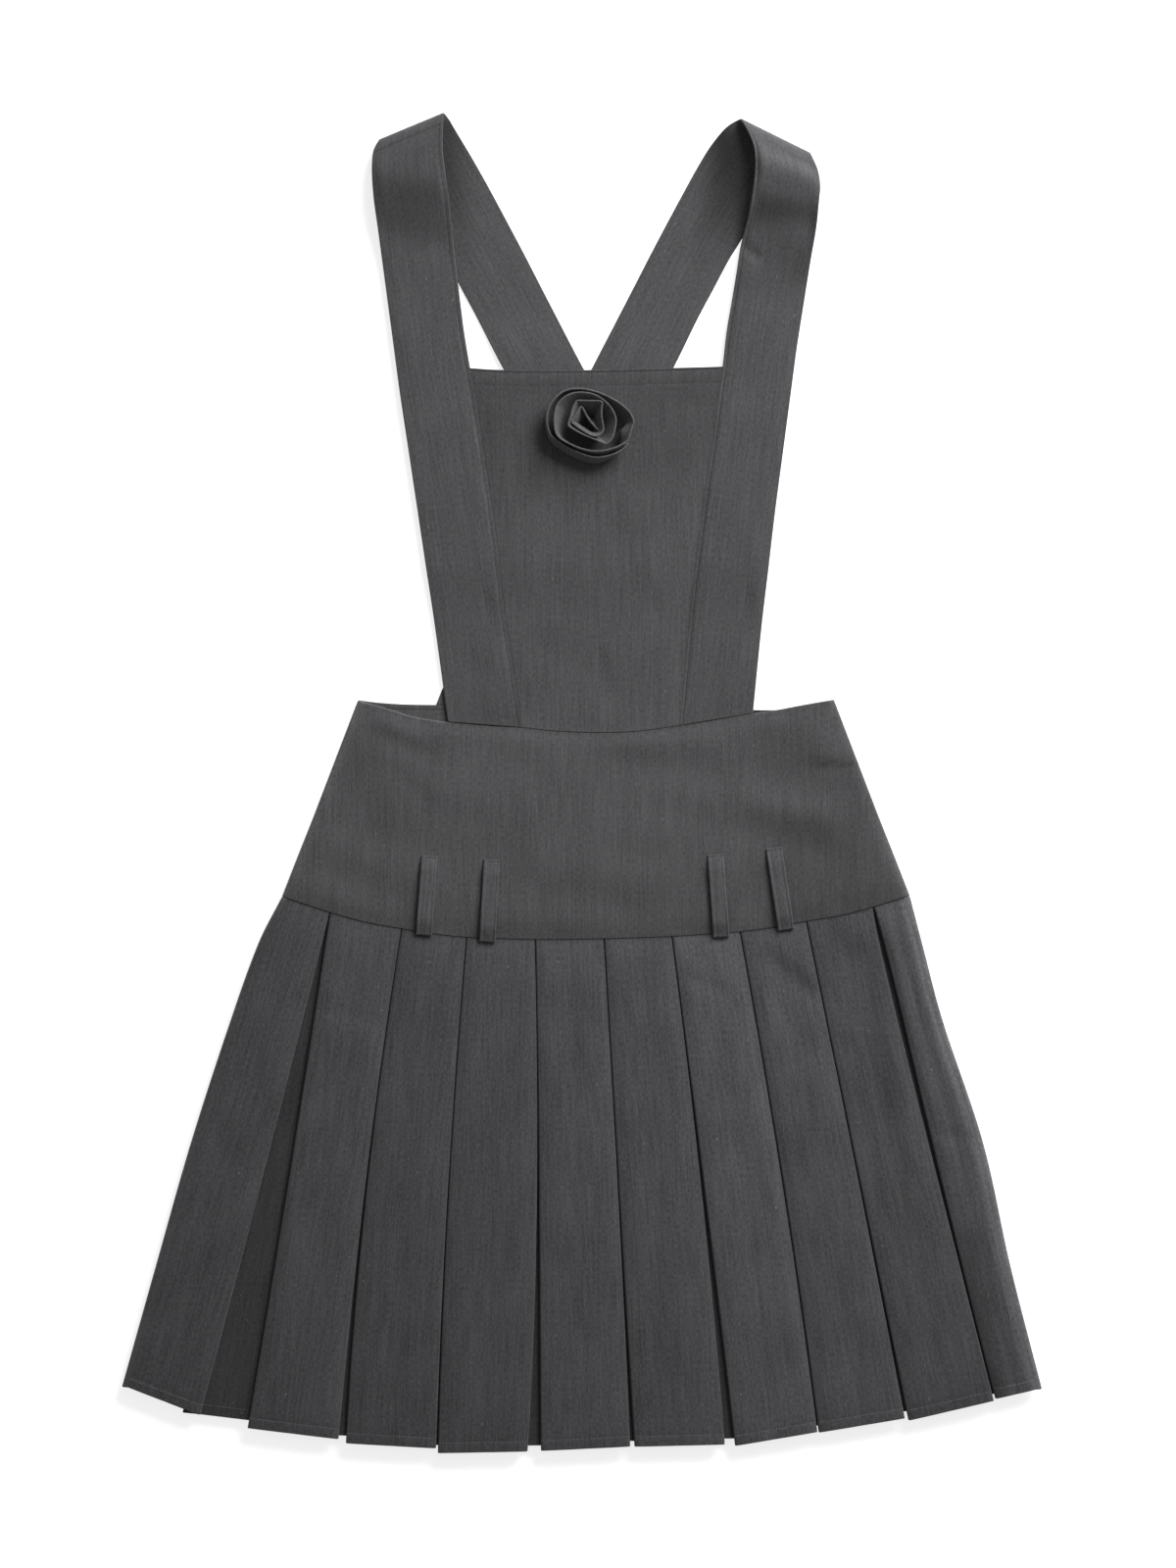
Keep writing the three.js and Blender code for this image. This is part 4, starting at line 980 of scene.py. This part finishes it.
# Lines between two boxes: x at the hip seam, halfway and at the hem; width of the gap at the hem
# and halfway, and how late it opens; hem y of the boxes to its left and right; how far the
# underlay's hem lies above each of those.
PLEAT_LINES = [
    (-171, -206, -242.7, 31.9, 0, 1, -429.1, -438.5, 1, 1.9),
    (-122.3, -146.3, -162.5, 4.9, 0, 3, -445.7, -448.7, 3.4, 3.4),
    (-78.3, -90.7, -98.2, 1.1, 0, 3, -452, -455.3, 3.4, 3.4),
    (-31.7, -29.7, -32.2, 9, 0, 3, -454.2, -453.7, 3.4, 3.4),
    (15, 25, 34.4, 2.8, 0, 3, -450.9, -450.9, 3.4, 3.4),
    (61, 82.3, 100.6, 6.8, 0, 2, -449.5, -450.2, 3.4, 4.6),
    (107.3, 136.3, 160.4, 0.8, 0, 1, -441.2, -441.2, 3.4, 5),
    (152.3, 186.7, 220.5, 2.3, 0, 2, -431.9, -433, 3.4, 6.8),
    (197.7, 238.3, 280.2, 0.8, 3.2, 1, -420.1, -418.3, 3.4, 3.4),
]
LEAST_PLEAT_GAP = 0.3
RETURN_SHARE = 0.45
FIRST_RETURN_SHARE = 0.22
BACK_BOXES = 8
BACK_SIDE_BOXES = (15, 21)
BACK_HEM_SHORTER = 8 * MM
FOLD_RADIUS = LAYER_PITCH / 2
SIDE_REACH = 4 * MM
SKIRT_LENGTH = 0.345
HEM_STITCH = 7 * MM
# Painted shade in the pleats' underlays and returns and on the turn of their folds, painted light and shade
# on each box's face, and painted light on the outermost box's right side.
UNDERLAY_SHADE = 0.54
UNDERLAY_HEM = (-429.7 * MM, -433.4 * MM)
BOX_LIGHT_AND_SHADE = [0.91, 0.98, 0.93, 0.98, 1.05, 1.05, 1.21, 1.08, 1.02, 1.12]
LIT_SIDE_TONE = 1.5
MID_GAP_LEAN = 0.4
TURN_SHADE = 0.88
BOX_PITCH = 0.3
RETURN_EDGES = (0.44, 0.56)
SKIRT_SHADES = [
    (198, -112, 213, -215, 10, -0.26), (262, -310, 279, -411, 10, -0.32), (126, -116, 156, -138, 6, -0.3),
    (170, -97, 184, -112, 8, -0.2), (128, -150, 150, -190, 9, 0.12),
]
SKIRT_FOLDS = [
    (-192, -150, -140, -162, 5, -0.6), (71, -132, 96, -142, 3, -0.7), (126, -114, 166, -150, 7, -0.9),
    (252, -150, 268, -232, 4, 1.0), (240, -238, 272, -243, 2.4, -1.0),
    (-262, -210, -236, -260, 9, -0.8), (-20, -150, 10, -230, 9, -0.5), (182, -180, 205, -300, 7, -0.9),
    (206, -170, 226, -260, 6, 0.8), (-230, -130, -200, -220, 9, 0.5), (-105, -120, -112, -210, 6, 0.5),
    (-200, -300, -210, -400, 10, 0.6), (60, -300, 66, -420, 9, 0.5), (-12, -330, -8, -430, 8, -0.5),
]


def through_three(seam, mid, hem, v):
    """Quadratic through a line's places at the hip seam, halfway and at the hem."""
    return seam * (1 - v) * (1 - 2 * v) + mid * 4 * v * (1 - v) + hem * v * (2 * v - 1)


def share_curve(rows):
    """Curve of places x in mm that is read by a share of the skirt's length."""
    return curve_through([(share / MM, x) for share, x in rows], 0, 1)


left_side_x = share_curve(SKIRT_LEFT)
right_side_x = share_curve(SKIRT_RIGHT)


def box_edges(lines, v):
    """Left and right fold of every box at share v: x, hem height, x at the seam, underlay lift."""
    edges = [(left_side_x(v), SIDE_HEM_Y[0] * MM, left_side_x(0), 0.0)]
    for seam_x, mid_x, hem_x, hem_gap, mid_gap, late, left_hem, right_hem, left_up, right_up in lines:
        x = through_three(seam_x, mid_x, hem_x, v)
        gap = LEAST_PLEAT_GAP + (hem_gap - LEAST_PLEAT_GAP) * v ** late
        half = (gap + mid_gap * math.sin(math.pi * v ** MID_GAP_LEAN) ** 2) / 2
        edges.append(((x - half) * MM, left_hem * MM, seam_x * MM, left_up * MM))
        edges.append(((x + half) * MM, right_hem * MM, seam_x * MM, right_up * MM))
    edges.append((right_side_x(v), SIDE_HEM_Y[1] * MM, right_side_x(0), 0.0))
    return [(edges[k], edges[k + 1]) for k in range(0, len(edges), 2)]


def skirt_panel(name, lines, heights, hem_trim, rise_at, face_count):
    """Pleated panel; heights are the middle heights of face, return, underlay and side edge."""
    face_z, return_z, underlay_z, side_z = heights
    up = 1 if face_z > return_z else -1
    turns = [math.radians(degrees) for degrees in (90, 60, 30, 0, -30, -60, -90)]
    middle, flat, tones = [], [], []

    def place(x, z, cut_x, edge, v, under=0.0, tone=1.0):
        top = hip_y(edge[2] + x - edge[0]) + SEAM_LAP
        y = mix(top, edge[1] + hem_trim + edge[3] * under, v)
        return Vector((x, y, z)), (cut_x, y), tone

    def pleat_side(box, outward, cut_centre, v):
        """One side of a box from its outer fold, under it to its inner fold. Outward is 1 to
        the right and -1 to the left."""
        edge = box[1] if outward > 0 else box[0]
        width = box[1][0] - box[0][0]
        reach = width * (FIRST_RETURN_SHARE if cut_centre == 0 else RETURN_SHARE)
        run = reach - HALF_WALL - 2 * FOLD_RADIUS
        points = []
        for angle in turns[1:]:
            inward = HALF_WALL + FOLD_RADIUS * (1 - math.cos(angle))
            z = (face_z + return_z) / 2 + up * FOLD_RADIUS * math.sin(angle)
            cut_x = cut_centre + outward * (width / 2 + FOLD_RADIUS * (math.pi / 2 - angle))
            tone = TURN_SHADE if angle > 0 else UNDERLAY_SHADE
            points.append(place(edge[0] - outward * inward, z, cut_x, edge, v, tone=tone))
        for share in (0.1, 0.35, 0.65, 0.9):
            inward = HALF_WALL + FOLD_RADIUS + run * share
            cut_x = cut_centre + outward * (width / 2 + math.pi * FOLD_RADIUS + run * share)
            points.append(place(edge[0] - outward * inward, return_z, cut_x, edge, v, share, UNDERLAY_SHADE))
        for angle in turns:
            inward = reach - FOLD_RADIUS + FOLD_RADIUS * math.cos(angle)
            z = (return_z + underlay_z) / 2 + up * FOLD_RADIUS * math.sin(angle)
            cut_x = cut_centre + outward * (BOX_PITCH / 2 - reach + inward)
            points.append(place(edge[0] - outward * inward, z, cut_x, edge, v, 1.0, UNDERLAY_SHADE))
        return points

    def garment_side(box, outward, cut_centre, v):
        """The outermost box's free side, rounded towards the other panel."""
        edge = box[1] if outward > 0 else box[0]
        half_width = (box[1][0] - box[0][0]) / 2
        points = []
        for step in (0.85, 0.65, 0.45, 0.27, 0.12, 0):
            inward, z = rounded_side(step, side_z(1), face_z, SIDE_REACH)
            cut_x = cut_centre + outward * (half_width + (1 - step) * SIDE_REACH)
            tone = LIT_SIDE_TONE if outward > 0 else 1.0
            points.append(place(edge[0] - outward * (HALF_WALL + inward), z, cut_x, edge, v, tone=tone))
        return points

    for share in stations(SKIRT_LENGTH, 4.4 * MM, [HEM_STITCH]):
        v = 1 - share
        boxes = box_edges(lines, v * (1 - hem_trim / SKIRT_LENGTH))
        row = []
        for k, box in enumerate(boxes):
            left, right = box
            centre = (left[0] + right[0]) / 2
            cut_centre = k * BOX_PITCH
            first, last = k == 0, k == len(boxes) - 1
            left_side = garment_side if first else pleat_side
            right_side = garment_side if last else pleat_side
            inner_points = left_side(box, -1, cut_centre, v)
            if not first:
                start, end = row[-1], inner_points[-1]
                for t in (0.15, 0.32, 0.5, 0.68, 0.85):
                    cut_x = cut_centre - BOX_PITCH / 2 + mix(start[0].x, end[0].x, t) - left[0]
                    spot = start[0].lerp(end[0], t)
                    row.append((spot, (cut_x, spot.y), UNDERLAY_SHADE))
            row += reversed(inner_points)
            left_in = left[0] + HALF_WALL + (SIDE_REACH if first else FOLD_RADIUS)
            right_in = right[0] - HALF_WALL - (SIDE_REACH if last else FOLD_RADIUS)
            for step in range(face_count + 1):
                u = step / face_count
                x = mix(left_in, right_in, u)
                edge = tuple(mix(a, b, u) for a, b in zip(left, right))
                spot, cut, _ = place(x, face_z, cut_centre + x - centre, edge, v)
                from_seam, from_hem = hip_y(x) - spot.y, spot.y - edge[1] - hem_trim
                spot.z += up * rise_at(k, u, x, spot.y, from_seam, from_hem)
                shade = 1 + folds_at(SKIRT_SHADES, spot.x, spot.y) / MM
                row.append((spot, cut, shade * box_tone(k, u, from_seam, from_hem)))
            row += right_side(box, 1, cut_centre, v)
        middle.append([spot for spot, cut, tone in row])
        flat.append([cut for spot, cut, tone in row])
        tones.append([tone for spot, cut, tone in row])
    return cloth_shell(name, middle, flat, tones=tones)


def box_tone(k, u, from_seam, from_hem):
    """Painted light and shade on a box's face: its own for each box, shade where the returns beneath are
    pressed through it and at the hip seam, lighter above than at the hem, and on the last box light to the
    right.
    """
    through = hill(u - RETURN_EDGES[0], 0.02) + hill(u - RETURN_EDGES[1], 0.025)
    pressed = 1 - 0.08 * through * smooth(from_seam / (30 * MM)) * smooth(from_hem / (20 * MM))
    lit = mix(1.0, LIT_SIDE_TONE, smooth((u - 0.72) / 0.28)) if k == len(BOX_LIGHT_AND_SHADE) - 1 else 1.0
    along = mix(1.08, 0.92, from_seam / SKIRT_LENGTH)
    return BOX_LIGHT_AND_SHADE[k] * lit * pressed * along * painted_shade_near(from_seam, HIP_SEAM_SHADE)


def front_box_rise(k, u, x, y, from_seam, from_hem):
    """A box swells a little off its returns and sinks between them along its middle."""
    swell = 0.55 * MM * (1 - (2 * u - 1) ** 4) * smooth(from_seam / (30 * MM))
    pressed = -0.4 * MM * hill(u - 0.5, 0.06) * smooth(from_seam / (40 * MM))
    loose = smooth(min(u, 1 - u) / 0.14) * smooth(from_seam / (12 * MM)) * smooth(from_hem / (9 * MM))
    rise = swell + pressed + loose * (waves(x, y, 80 + 3 * k, 0.5, 0.1) + folds_at(SKIRT_FOLDS, x, y))
    hem = 0.2 * MM * smooth((HEM_STITCH + 1 * MM - from_hem) / (2 * MM))
    return rise + hem + sewn_dip(from_hem - HEM_STITCH, 0.2)


def back_lines():
    """Pleat lines of the hidden back, spread evenly between its two side boxes."""
    corners = [(line[2], line[6]) for line in PLEAT_LINES]
    corners += [(SKIRT_LEFT[-1][1], SIDE_HEM_Y[0]), (SKIRT_RIGHT[-1][1], SIDE_HEM_Y[1])]
    hem_height = curve_through(corners, 0, 1)
    ends = [(left_side_x(v) / MM, right_side_x(v) / MM) for v in (0, 0.5, 1)]
    width = ends[0][1] - ends[0][0]
    step = (width - sum(BACK_SIDE_BOXES)) / BACK_BOXES
    lines = []
    for k in range(BACK_BOXES + 1):
        share = (BACK_SIDE_BOXES[0] + k * step) / width
        xs = [mix(left, right, share) for left, right in ends]
        hem = hem_height(xs[2] * MM) / MM
        lines.append((*xs, LEAST_PLEAT_GAP, 0, 1, hem, hem, 0, 0))
    return lines


# Painted shade: the skirt's suiting is darker than the bib's, for light that falls off towards the hem.
skirt_suiting = suiting("skirt_suiting", (0.106, 0.106, 0.112), (0.043, 0.043, 0.046), 1.15)
light_thread = thread("light_thread", (0.17, 0.17, 0.175))
skirt_front = skirt_panel(
    "skirt_front_cloth", PLEAT_LINES,
    (SKIRT_FACE_Z + HALF_WALL, SKIRT_FACE_Z - LAYER_PITCH + HALF_WALL,
     SKIRT_FACE_Z - 2 * LAYER_PITCH + HALF_WALL, lambda v: side_meeting(v) + HALF_GAP),
    0.0, front_box_rise, 15,
)
finish_cloth(skirt_front, skirt_suiting, ["skirt_front"])
hem_lines = []
hem_boxes = box_edges(PLEAT_LINES, 1)
for left, right in hem_boxes:
    hem_lines.append(stitch_line(
        left[0] + 1.5 * MM, right[0] - 1.5 * MM, 30,
        lambda x, share: mix(left[1], right[1], share) + HEM_STITCH,
    ))
hem_lines.append(stitch_line(
    hem_boxes[0][1][0] + 1 * MM, hem_boxes[1][0][0] - 1 * MM, 16,
    lambda x, share: mix(*UNDERLAY_HEM, share) + HEM_STITCH,
))
hem_row = sew(
    "hem_topstitch", skirt_front, hem_lines, light_thread, 0.5 * MM, 1.9 * MM, 1.15 * MM
)
skirt_back = skirt_panel(
    "skirt_back_cloth", back_lines(),
    (HALF_WALL, LAYER_PITCH + HALF_WALL, 2 * LAYER_PITCH + HALF_WALL, lambda v: side_meeting(v) - HALF_GAP),
    BACK_HEM_SHORTER, lambda *place: 0.0, 6,
)
finish_cloth(skirt_back, skirt_suiting, ["skirt_back"])


# Belt loops. Four narrow folded bands over the lower half of the front yoke, with two rows of
# light stitches each, sewn down at both ends and standing off the yoke between them.
# Each loop's top and foot: x and y, x and y.
BELT_LOOPS = [
    (-103.2, -50, -106.9, -103.8), (-61, -52.7, -64, -108.4),
    (90.8, -49.1, 94.7, -105.2), (130.5, -44.7, 138.6, -100.2),
]
LOOP_WIDTH = 11 * MM
LOOP_WALL = 1.6 * MM
LOOP_ARCH = 2.0 * MM
LOOP_LANDING = 0.2
LOOP_STITCH = 2.3 * MM
LOOP_BAR = 2 * MM
LOOP_COLUMN_DIP = 0.28
LOOP_BAR_DIP = 0.25
LOOP_WAVE = 0.25 * MM
LOOP_WAVE_LENGTH = 12 * MM
# Painted shade: the loops' suiting is made darker than the bib's.
loop_suiting = suiting("loop_suiting", (0.112, 0.112, 0.117), (0.047, 0.047, 0.05))
pale_thread = thread("pale_thread", (0.2, 0.2, 0.205))


def yoke_top_at(x, y):
    lower = mix(SKIRT_FACE_Z, FRONT_WAIST_Z, smooth((y - hip_y(x)) / YOKE_SLOPE))
    return lower + CLOTH_WALL


for number, (top_x, top_y, low_x, low_y) in enumerate(BELT_LOOPS, 1):
    top, low = Vector((top_x, top_y)) * MM, Vector((low_x, low_y)) * MM
    length = (low - top).length
    down = (low - top).normalized()
    across = Vector((-down.y, down.x))
    middle, flat = [], []
    stitch_columns = [LOOP_STITCH, LOOP_WIDTH - LOOP_STITCH]
    for share in stations(length, 1.6 * MM, [length - LOOP_BAR]):
        w = 1 - share
        landing = smooth(min(w, 1 - w) / LOOP_LANDING)
        row, cut = [], []
        for u in stations(LOOP_WIDTH, 1.2 * MM, stitch_columns):
            spot = top + down * length * w + across * (u - 0.5) * LOOP_WIDTH
            z = yoke_top_at(spot.x, spot.y) + 2 * SEAM_GAP + LOOP_ARCH * landing + LOOP_WALL / 2
            z += sum(sewn_dip(u * LOOP_WIDTH - place, LOOP_COLUMN_DIP) for place in stitch_columns)
            z += sewn_dip(w * length - LOOP_BAR, LOOP_BAR_DIP)
            z += LOOP_WAVE * noise.noise(spot.to_3d() / LOOP_WAVE_LENGTH)
            row.append(Vector((spot.x, spot.y, z)))
            cut.append(((u - 0.5) * LOOP_WIDTH + number, -w * length))
        middle.append(row)
        flat.append(cut)
    loop = cloth_shell(f"belt_loop_{number}_cloth", middle, flat, LOOP_WALL)
    finish_cloth(loop, loop_suiting, [f"belt_loop_{number}"])
    rows = []
    for sideways in (-1, 1):
        offset = across * sideways * (LOOP_WIDTH / 2 - LOOP_STITCH)
        rows.append([tuple(top + down * d * MM + offset) for d in range(1, int(length / MM))])
    rows.append([tuple(top + down * LOOP_BAR + across * d * MM * 0.5) for d in range(-9, 10)])
    seam_rows = sew(f"belt_loop_{number}_stitches", loop, rows, pale_thread, 0.42 * MM)


# Rose. A strip of the same suiting folded lengthwise, rolled up on edge from the middle out and
# sewn to the bib. It leans, so its outer wall shows below and its inner walls above.
ROSE_CENTRE = Vector((4.3, 243.9)) * MM
ROSE_SEAT = 5 * MM
ROSE_HEIGHT = 13 * MM
ROSE_WALL = 1.25 * MM
ROSE_LEAN = Vector((-1.0, -5.2)) * MM
ROSE_INNER_LEAN = 0.25
ROSE_BASE_SHARE = 0.93
ROSE_RIGHT_BASE_SHARE = 0.66
ROSE_INNER_BASE_SHARES = (0.35, 0.45)
ROSE_OUTER_FROM = (0.42, 0.22)
ROSE_RIGHT_X = (-4 * MM, 22 * MM)
ROSE_CORE_HEIGHT = 0.82
ROSE_OUTER_HEIGHT = 0.8
ROSE_SWELL = 1.1 * MM
ROSE_DENT_DEPTH = 4.5 * MM
ROSE_DENT_REACH = (7 * MM, 0.2)
ROSE_DENT_LEVEL = 0.6
ROSE_RIM_LIGHT = 0.2
ROSE_TONGUE = Vector((5.5, 4)) * MM
ROSE_DENT = Vector((29, -6)) * MM
ROSE_RIM = [
    (8.1, -7.0), (3.7, -2.6), (-0.4, 3.0), (-3.3, 8.5), (-5.0, 10.4), (-7.4, 7.0), (-9.6, 3.0),
    (-11.3, -0.2), (-8.9, -2.6), (-4.8, -5.6), (0.4, -8.7), (4.8, -10.2), (8.7, -8.9), (10.7, -5.6),
    (10.1, -0.4), (9.4, 4.8), (9.6, 10.0), (9.9, 12.8), (7.8, 14.1), (0.4, 14.4), (-7.0, 14.5),
    (-8.5, 13.3), (-10.7, 8.9), (-12.4, 2.6), (-13.7, -2.2), (-11.1, -4.8), (-4.8, -8.4),
    (1.9, -11.3), (7.8, -13.7), (12.2, -15.4), (14.4, -14.4), (16.8, -11.1), (18.5, -5.6),
    (19.3, 0.4), (18.3, 5.2), (15.2, 10.4), (10.7, 14.8), (4.8, 18.4), (-1.9, 19.9), (-8.5, 19.8),
    (-13.0, 18.5), (-16.8, 16.3), (-20.7, 12.2), (-22.7, 6.3), (-23.2, 0.4), (-22.2, -7.0),
    (-18.9, -11.5), (-12.2, -15.2), (-4.8, -18.1), (3.3, -19.8), (10.7, -19.5), (19.6, -17.0),
    (26.3, -13.3), (28.5, -8.5), (30.4, -2.6), (31.1, 0.7), (28.5, 6.3), (22.6, 11.9), (15.2, 16.3),
    (7.8, 19.6), (1.8, 21.4), (-4.8, 22.4), (-11.5, 22.2), (-17.2, 20.2), (-22.5, 15.8),
    (-26.0, 10.7), (-27.5, 5.6), (-27.5, -1.1), (-25.8, -7.0), (-23.6, -10.2), (-16.7, -15.0),
    (-10.7, -18.4), (-3.3, -21.6), (4.1, -23.6), (10.7, -23.3), (18.1, -21.4), (24.1, -18.0),
    (27.9, -14.2),
]
rose_suiting = suiting("rose_suiting", (0.13, 0.13, 0.135), (0.056, 0.056, 0.059))


def rounded_path(corners, steps):
    """Smooth open path through corners, with a number of steps between each two."""
    path = []
    last = len(corners) - 1
    for k in range(last):
        before, start = corners[max(0, k - 1)], corners[k]
        end, after = corners[k + 1], corners[min(last, k + 2)]
        for step in range(steps):
            t = step / steps
            lead = (end - before) * 0.5
            follow = (after - start) * 0.5
            path.append(
                start * (2 * t ** 3 - 3 * t ** 2 + 1) + end * (3 * t ** 2 - 2 * t ** 3)
                + lead * (t ** 3 - 2 * t ** 2 + t) + follow * (t ** 3 - t ** 2)
            )
    return path + [corners[-1]]


rim = rounded_path([Vector(corner) * MM for corner in ROSE_RIM], 6)
rim_lengths = [0.0]
for before, after in zip(rim, rim[1:]):
    rim_lengths.append(rim_lengths[-1] + (after - before).length)
rose_middle, rose_flat, rose_tones = [], [], []
for level in stations(ROSE_HEIGHT, 1.1 * MM):
    row, cut = [], []
    for point, length in zip(rim, rim_lengths):
        share = length / rim_lengths[-1]
        tall = mix(ROSE_CORE_HEIGHT, 1.0, smooth(share / 0.12))
        tall *= mix(1.0, ROSE_OUTER_HEIGHT, smooth((share - 0.45) / 0.4))
        tall += 0.05 * noise.noise(Vector((length / (18 * MM), 0.5, 2.0)))
        outer_turn = smooth((share - ROSE_OUTER_FROM[0]) / ROSE_OUTER_FROM[1])
        inner_share = mix(*ROSE_INNER_BASE_SHARES, smooth(share / 0.3))
        base_share = mix(inner_share, ROSE_BASE_SHARE, outer_turn)
        right_share = mix(base_share, ROSE_RIGHT_BASE_SHARE, outer_turn)
        to_right = smooth((point.x - ROSE_RIGHT_X[0]) / ROSE_RIGHT_X[1])
        foot = Vector((point.x * mix(base_share, right_share, to_right), point.y * base_share))
        foot += ROSE_LEAN * mix(ROSE_INNER_LEAN, 1.0, outer_turn)
        foot += ROSE_TONGUE * (1 - smooth(share / 0.07))
        swell = ROSE_SWELL * math.sin(math.pi * level) * (2 * outer_turn - 1)
        dent = hill((point - ROSE_DENT).length, ROSE_DENT_REACH[0])
        dent *= hill(level - ROSE_DENT_LEVEL, ROSE_DENT_REACH[1])
        bulge = point.normalized() * (swell - ROSE_DENT_DEPTH * dent * outer_turn)
        spot = foot.lerp(point, level ** 0.8) + bulge
        row.append(Vector((*(ROSE_CENTRE + spot), ROSE_SEAT + ROSE_HEIGHT * level * tall)))
        cut.append((length, level * ROSE_HEIGHT))
    rose_middle.append(row)
    rose_flat.append(cut)
    # Painted highlight along the top of the rim.
    rose_tones.append([1 + ROSE_RIM_LIGHT * smooth((level - 0.88) / 0.1)] * len(row))
rose = cloth_shell("rose_cloth_roll", rose_middle, rose_flat, ROSE_WALL, rose_tones)
finish_cloth(rose, rose_suiting, ["rose"])


# Studio. A plain pale floor, one large soft light from the upper right and an even pale sky.
floor_mesh = bpy.data.meshes.new("floor")
FLOOR_Z = -0.2 * MM
corners = [(-4, -4, FLOOR_Z), (4, -4, FLOOR_Z), (4, 4, FLOOR_Z), (-4, 4, FLOOR_Z)]
floor_mesh.from_pydata(corners, [], [(0, 1, 2, 3)])
floor = new_object("floor", floor_mesh)
paper, paper_shader = new_material("pale_paper")
paper_shader.inputs["Base Color"].default_value = (0.9, 0.9, 0.9, 1)
paper_shader.inputs["Roughness"].default_value = 0.9
paper_shader.inputs["Specular IOR Level"].default_value = 0.1
paper_shader.inputs["Emission Color"].default_value = (1, 1, 1, 1)
paper_shader.inputs["Emission Strength"].default_value = 0.7
floor_mesh.materials.append(paper)

lamp_data = bpy.data.lights.new("softbox", "AREA")
lamp_data.shape = "RECTANGLE"
lamp_data.size = 1.8
lamp_data.size_y = 1.5
lamp_data.energy = 121
lamp = new_object("softbox", lamp_data)
lamp.location = (1.5, 2.2, 1.35)
lamp.rotation_euler = (Vector((0, 0.05, 0)) - lamp.location).to_track_quat("-Z", "Y").to_euler()

sky = bpy.data.worlds.new("studio")
sky.use_nodes = True
sky.node_tree.nodes["Background"].inputs["Color"].default_value = (1, 1, 1, 1)
sky.node_tree.nodes["Background"].inputs["Strength"].default_value = 0.205
bpy.context.scene.world = sky
bpy.context.scene.view_settings.view_transform = "Standard"


# Camera, straight above the dress as it lies.
VIEW_CENTRE = (4.3 * MM, -1.3 * MM)
VIEW_HEIGHT = 3.0
VIEW_LONG_SIDE = 1600 * 2 / 3 * MM
SENSOR_HEIGHT = 36
camera_data = bpy.data.cameras.new("camera")
camera_data.sensor_fit = "VERTICAL"
camera_data.sensor_height = SENSOR_HEIGHT
camera_data.lens = SENSOR_HEIGHT * VIEW_HEIGHT / VIEW_LONG_SIDE
camera = new_object("camera", camera_data)
camera.location = (*VIEW_CENTRE, VIEW_HEIGHT)
bpy.context.scene.camera = camera
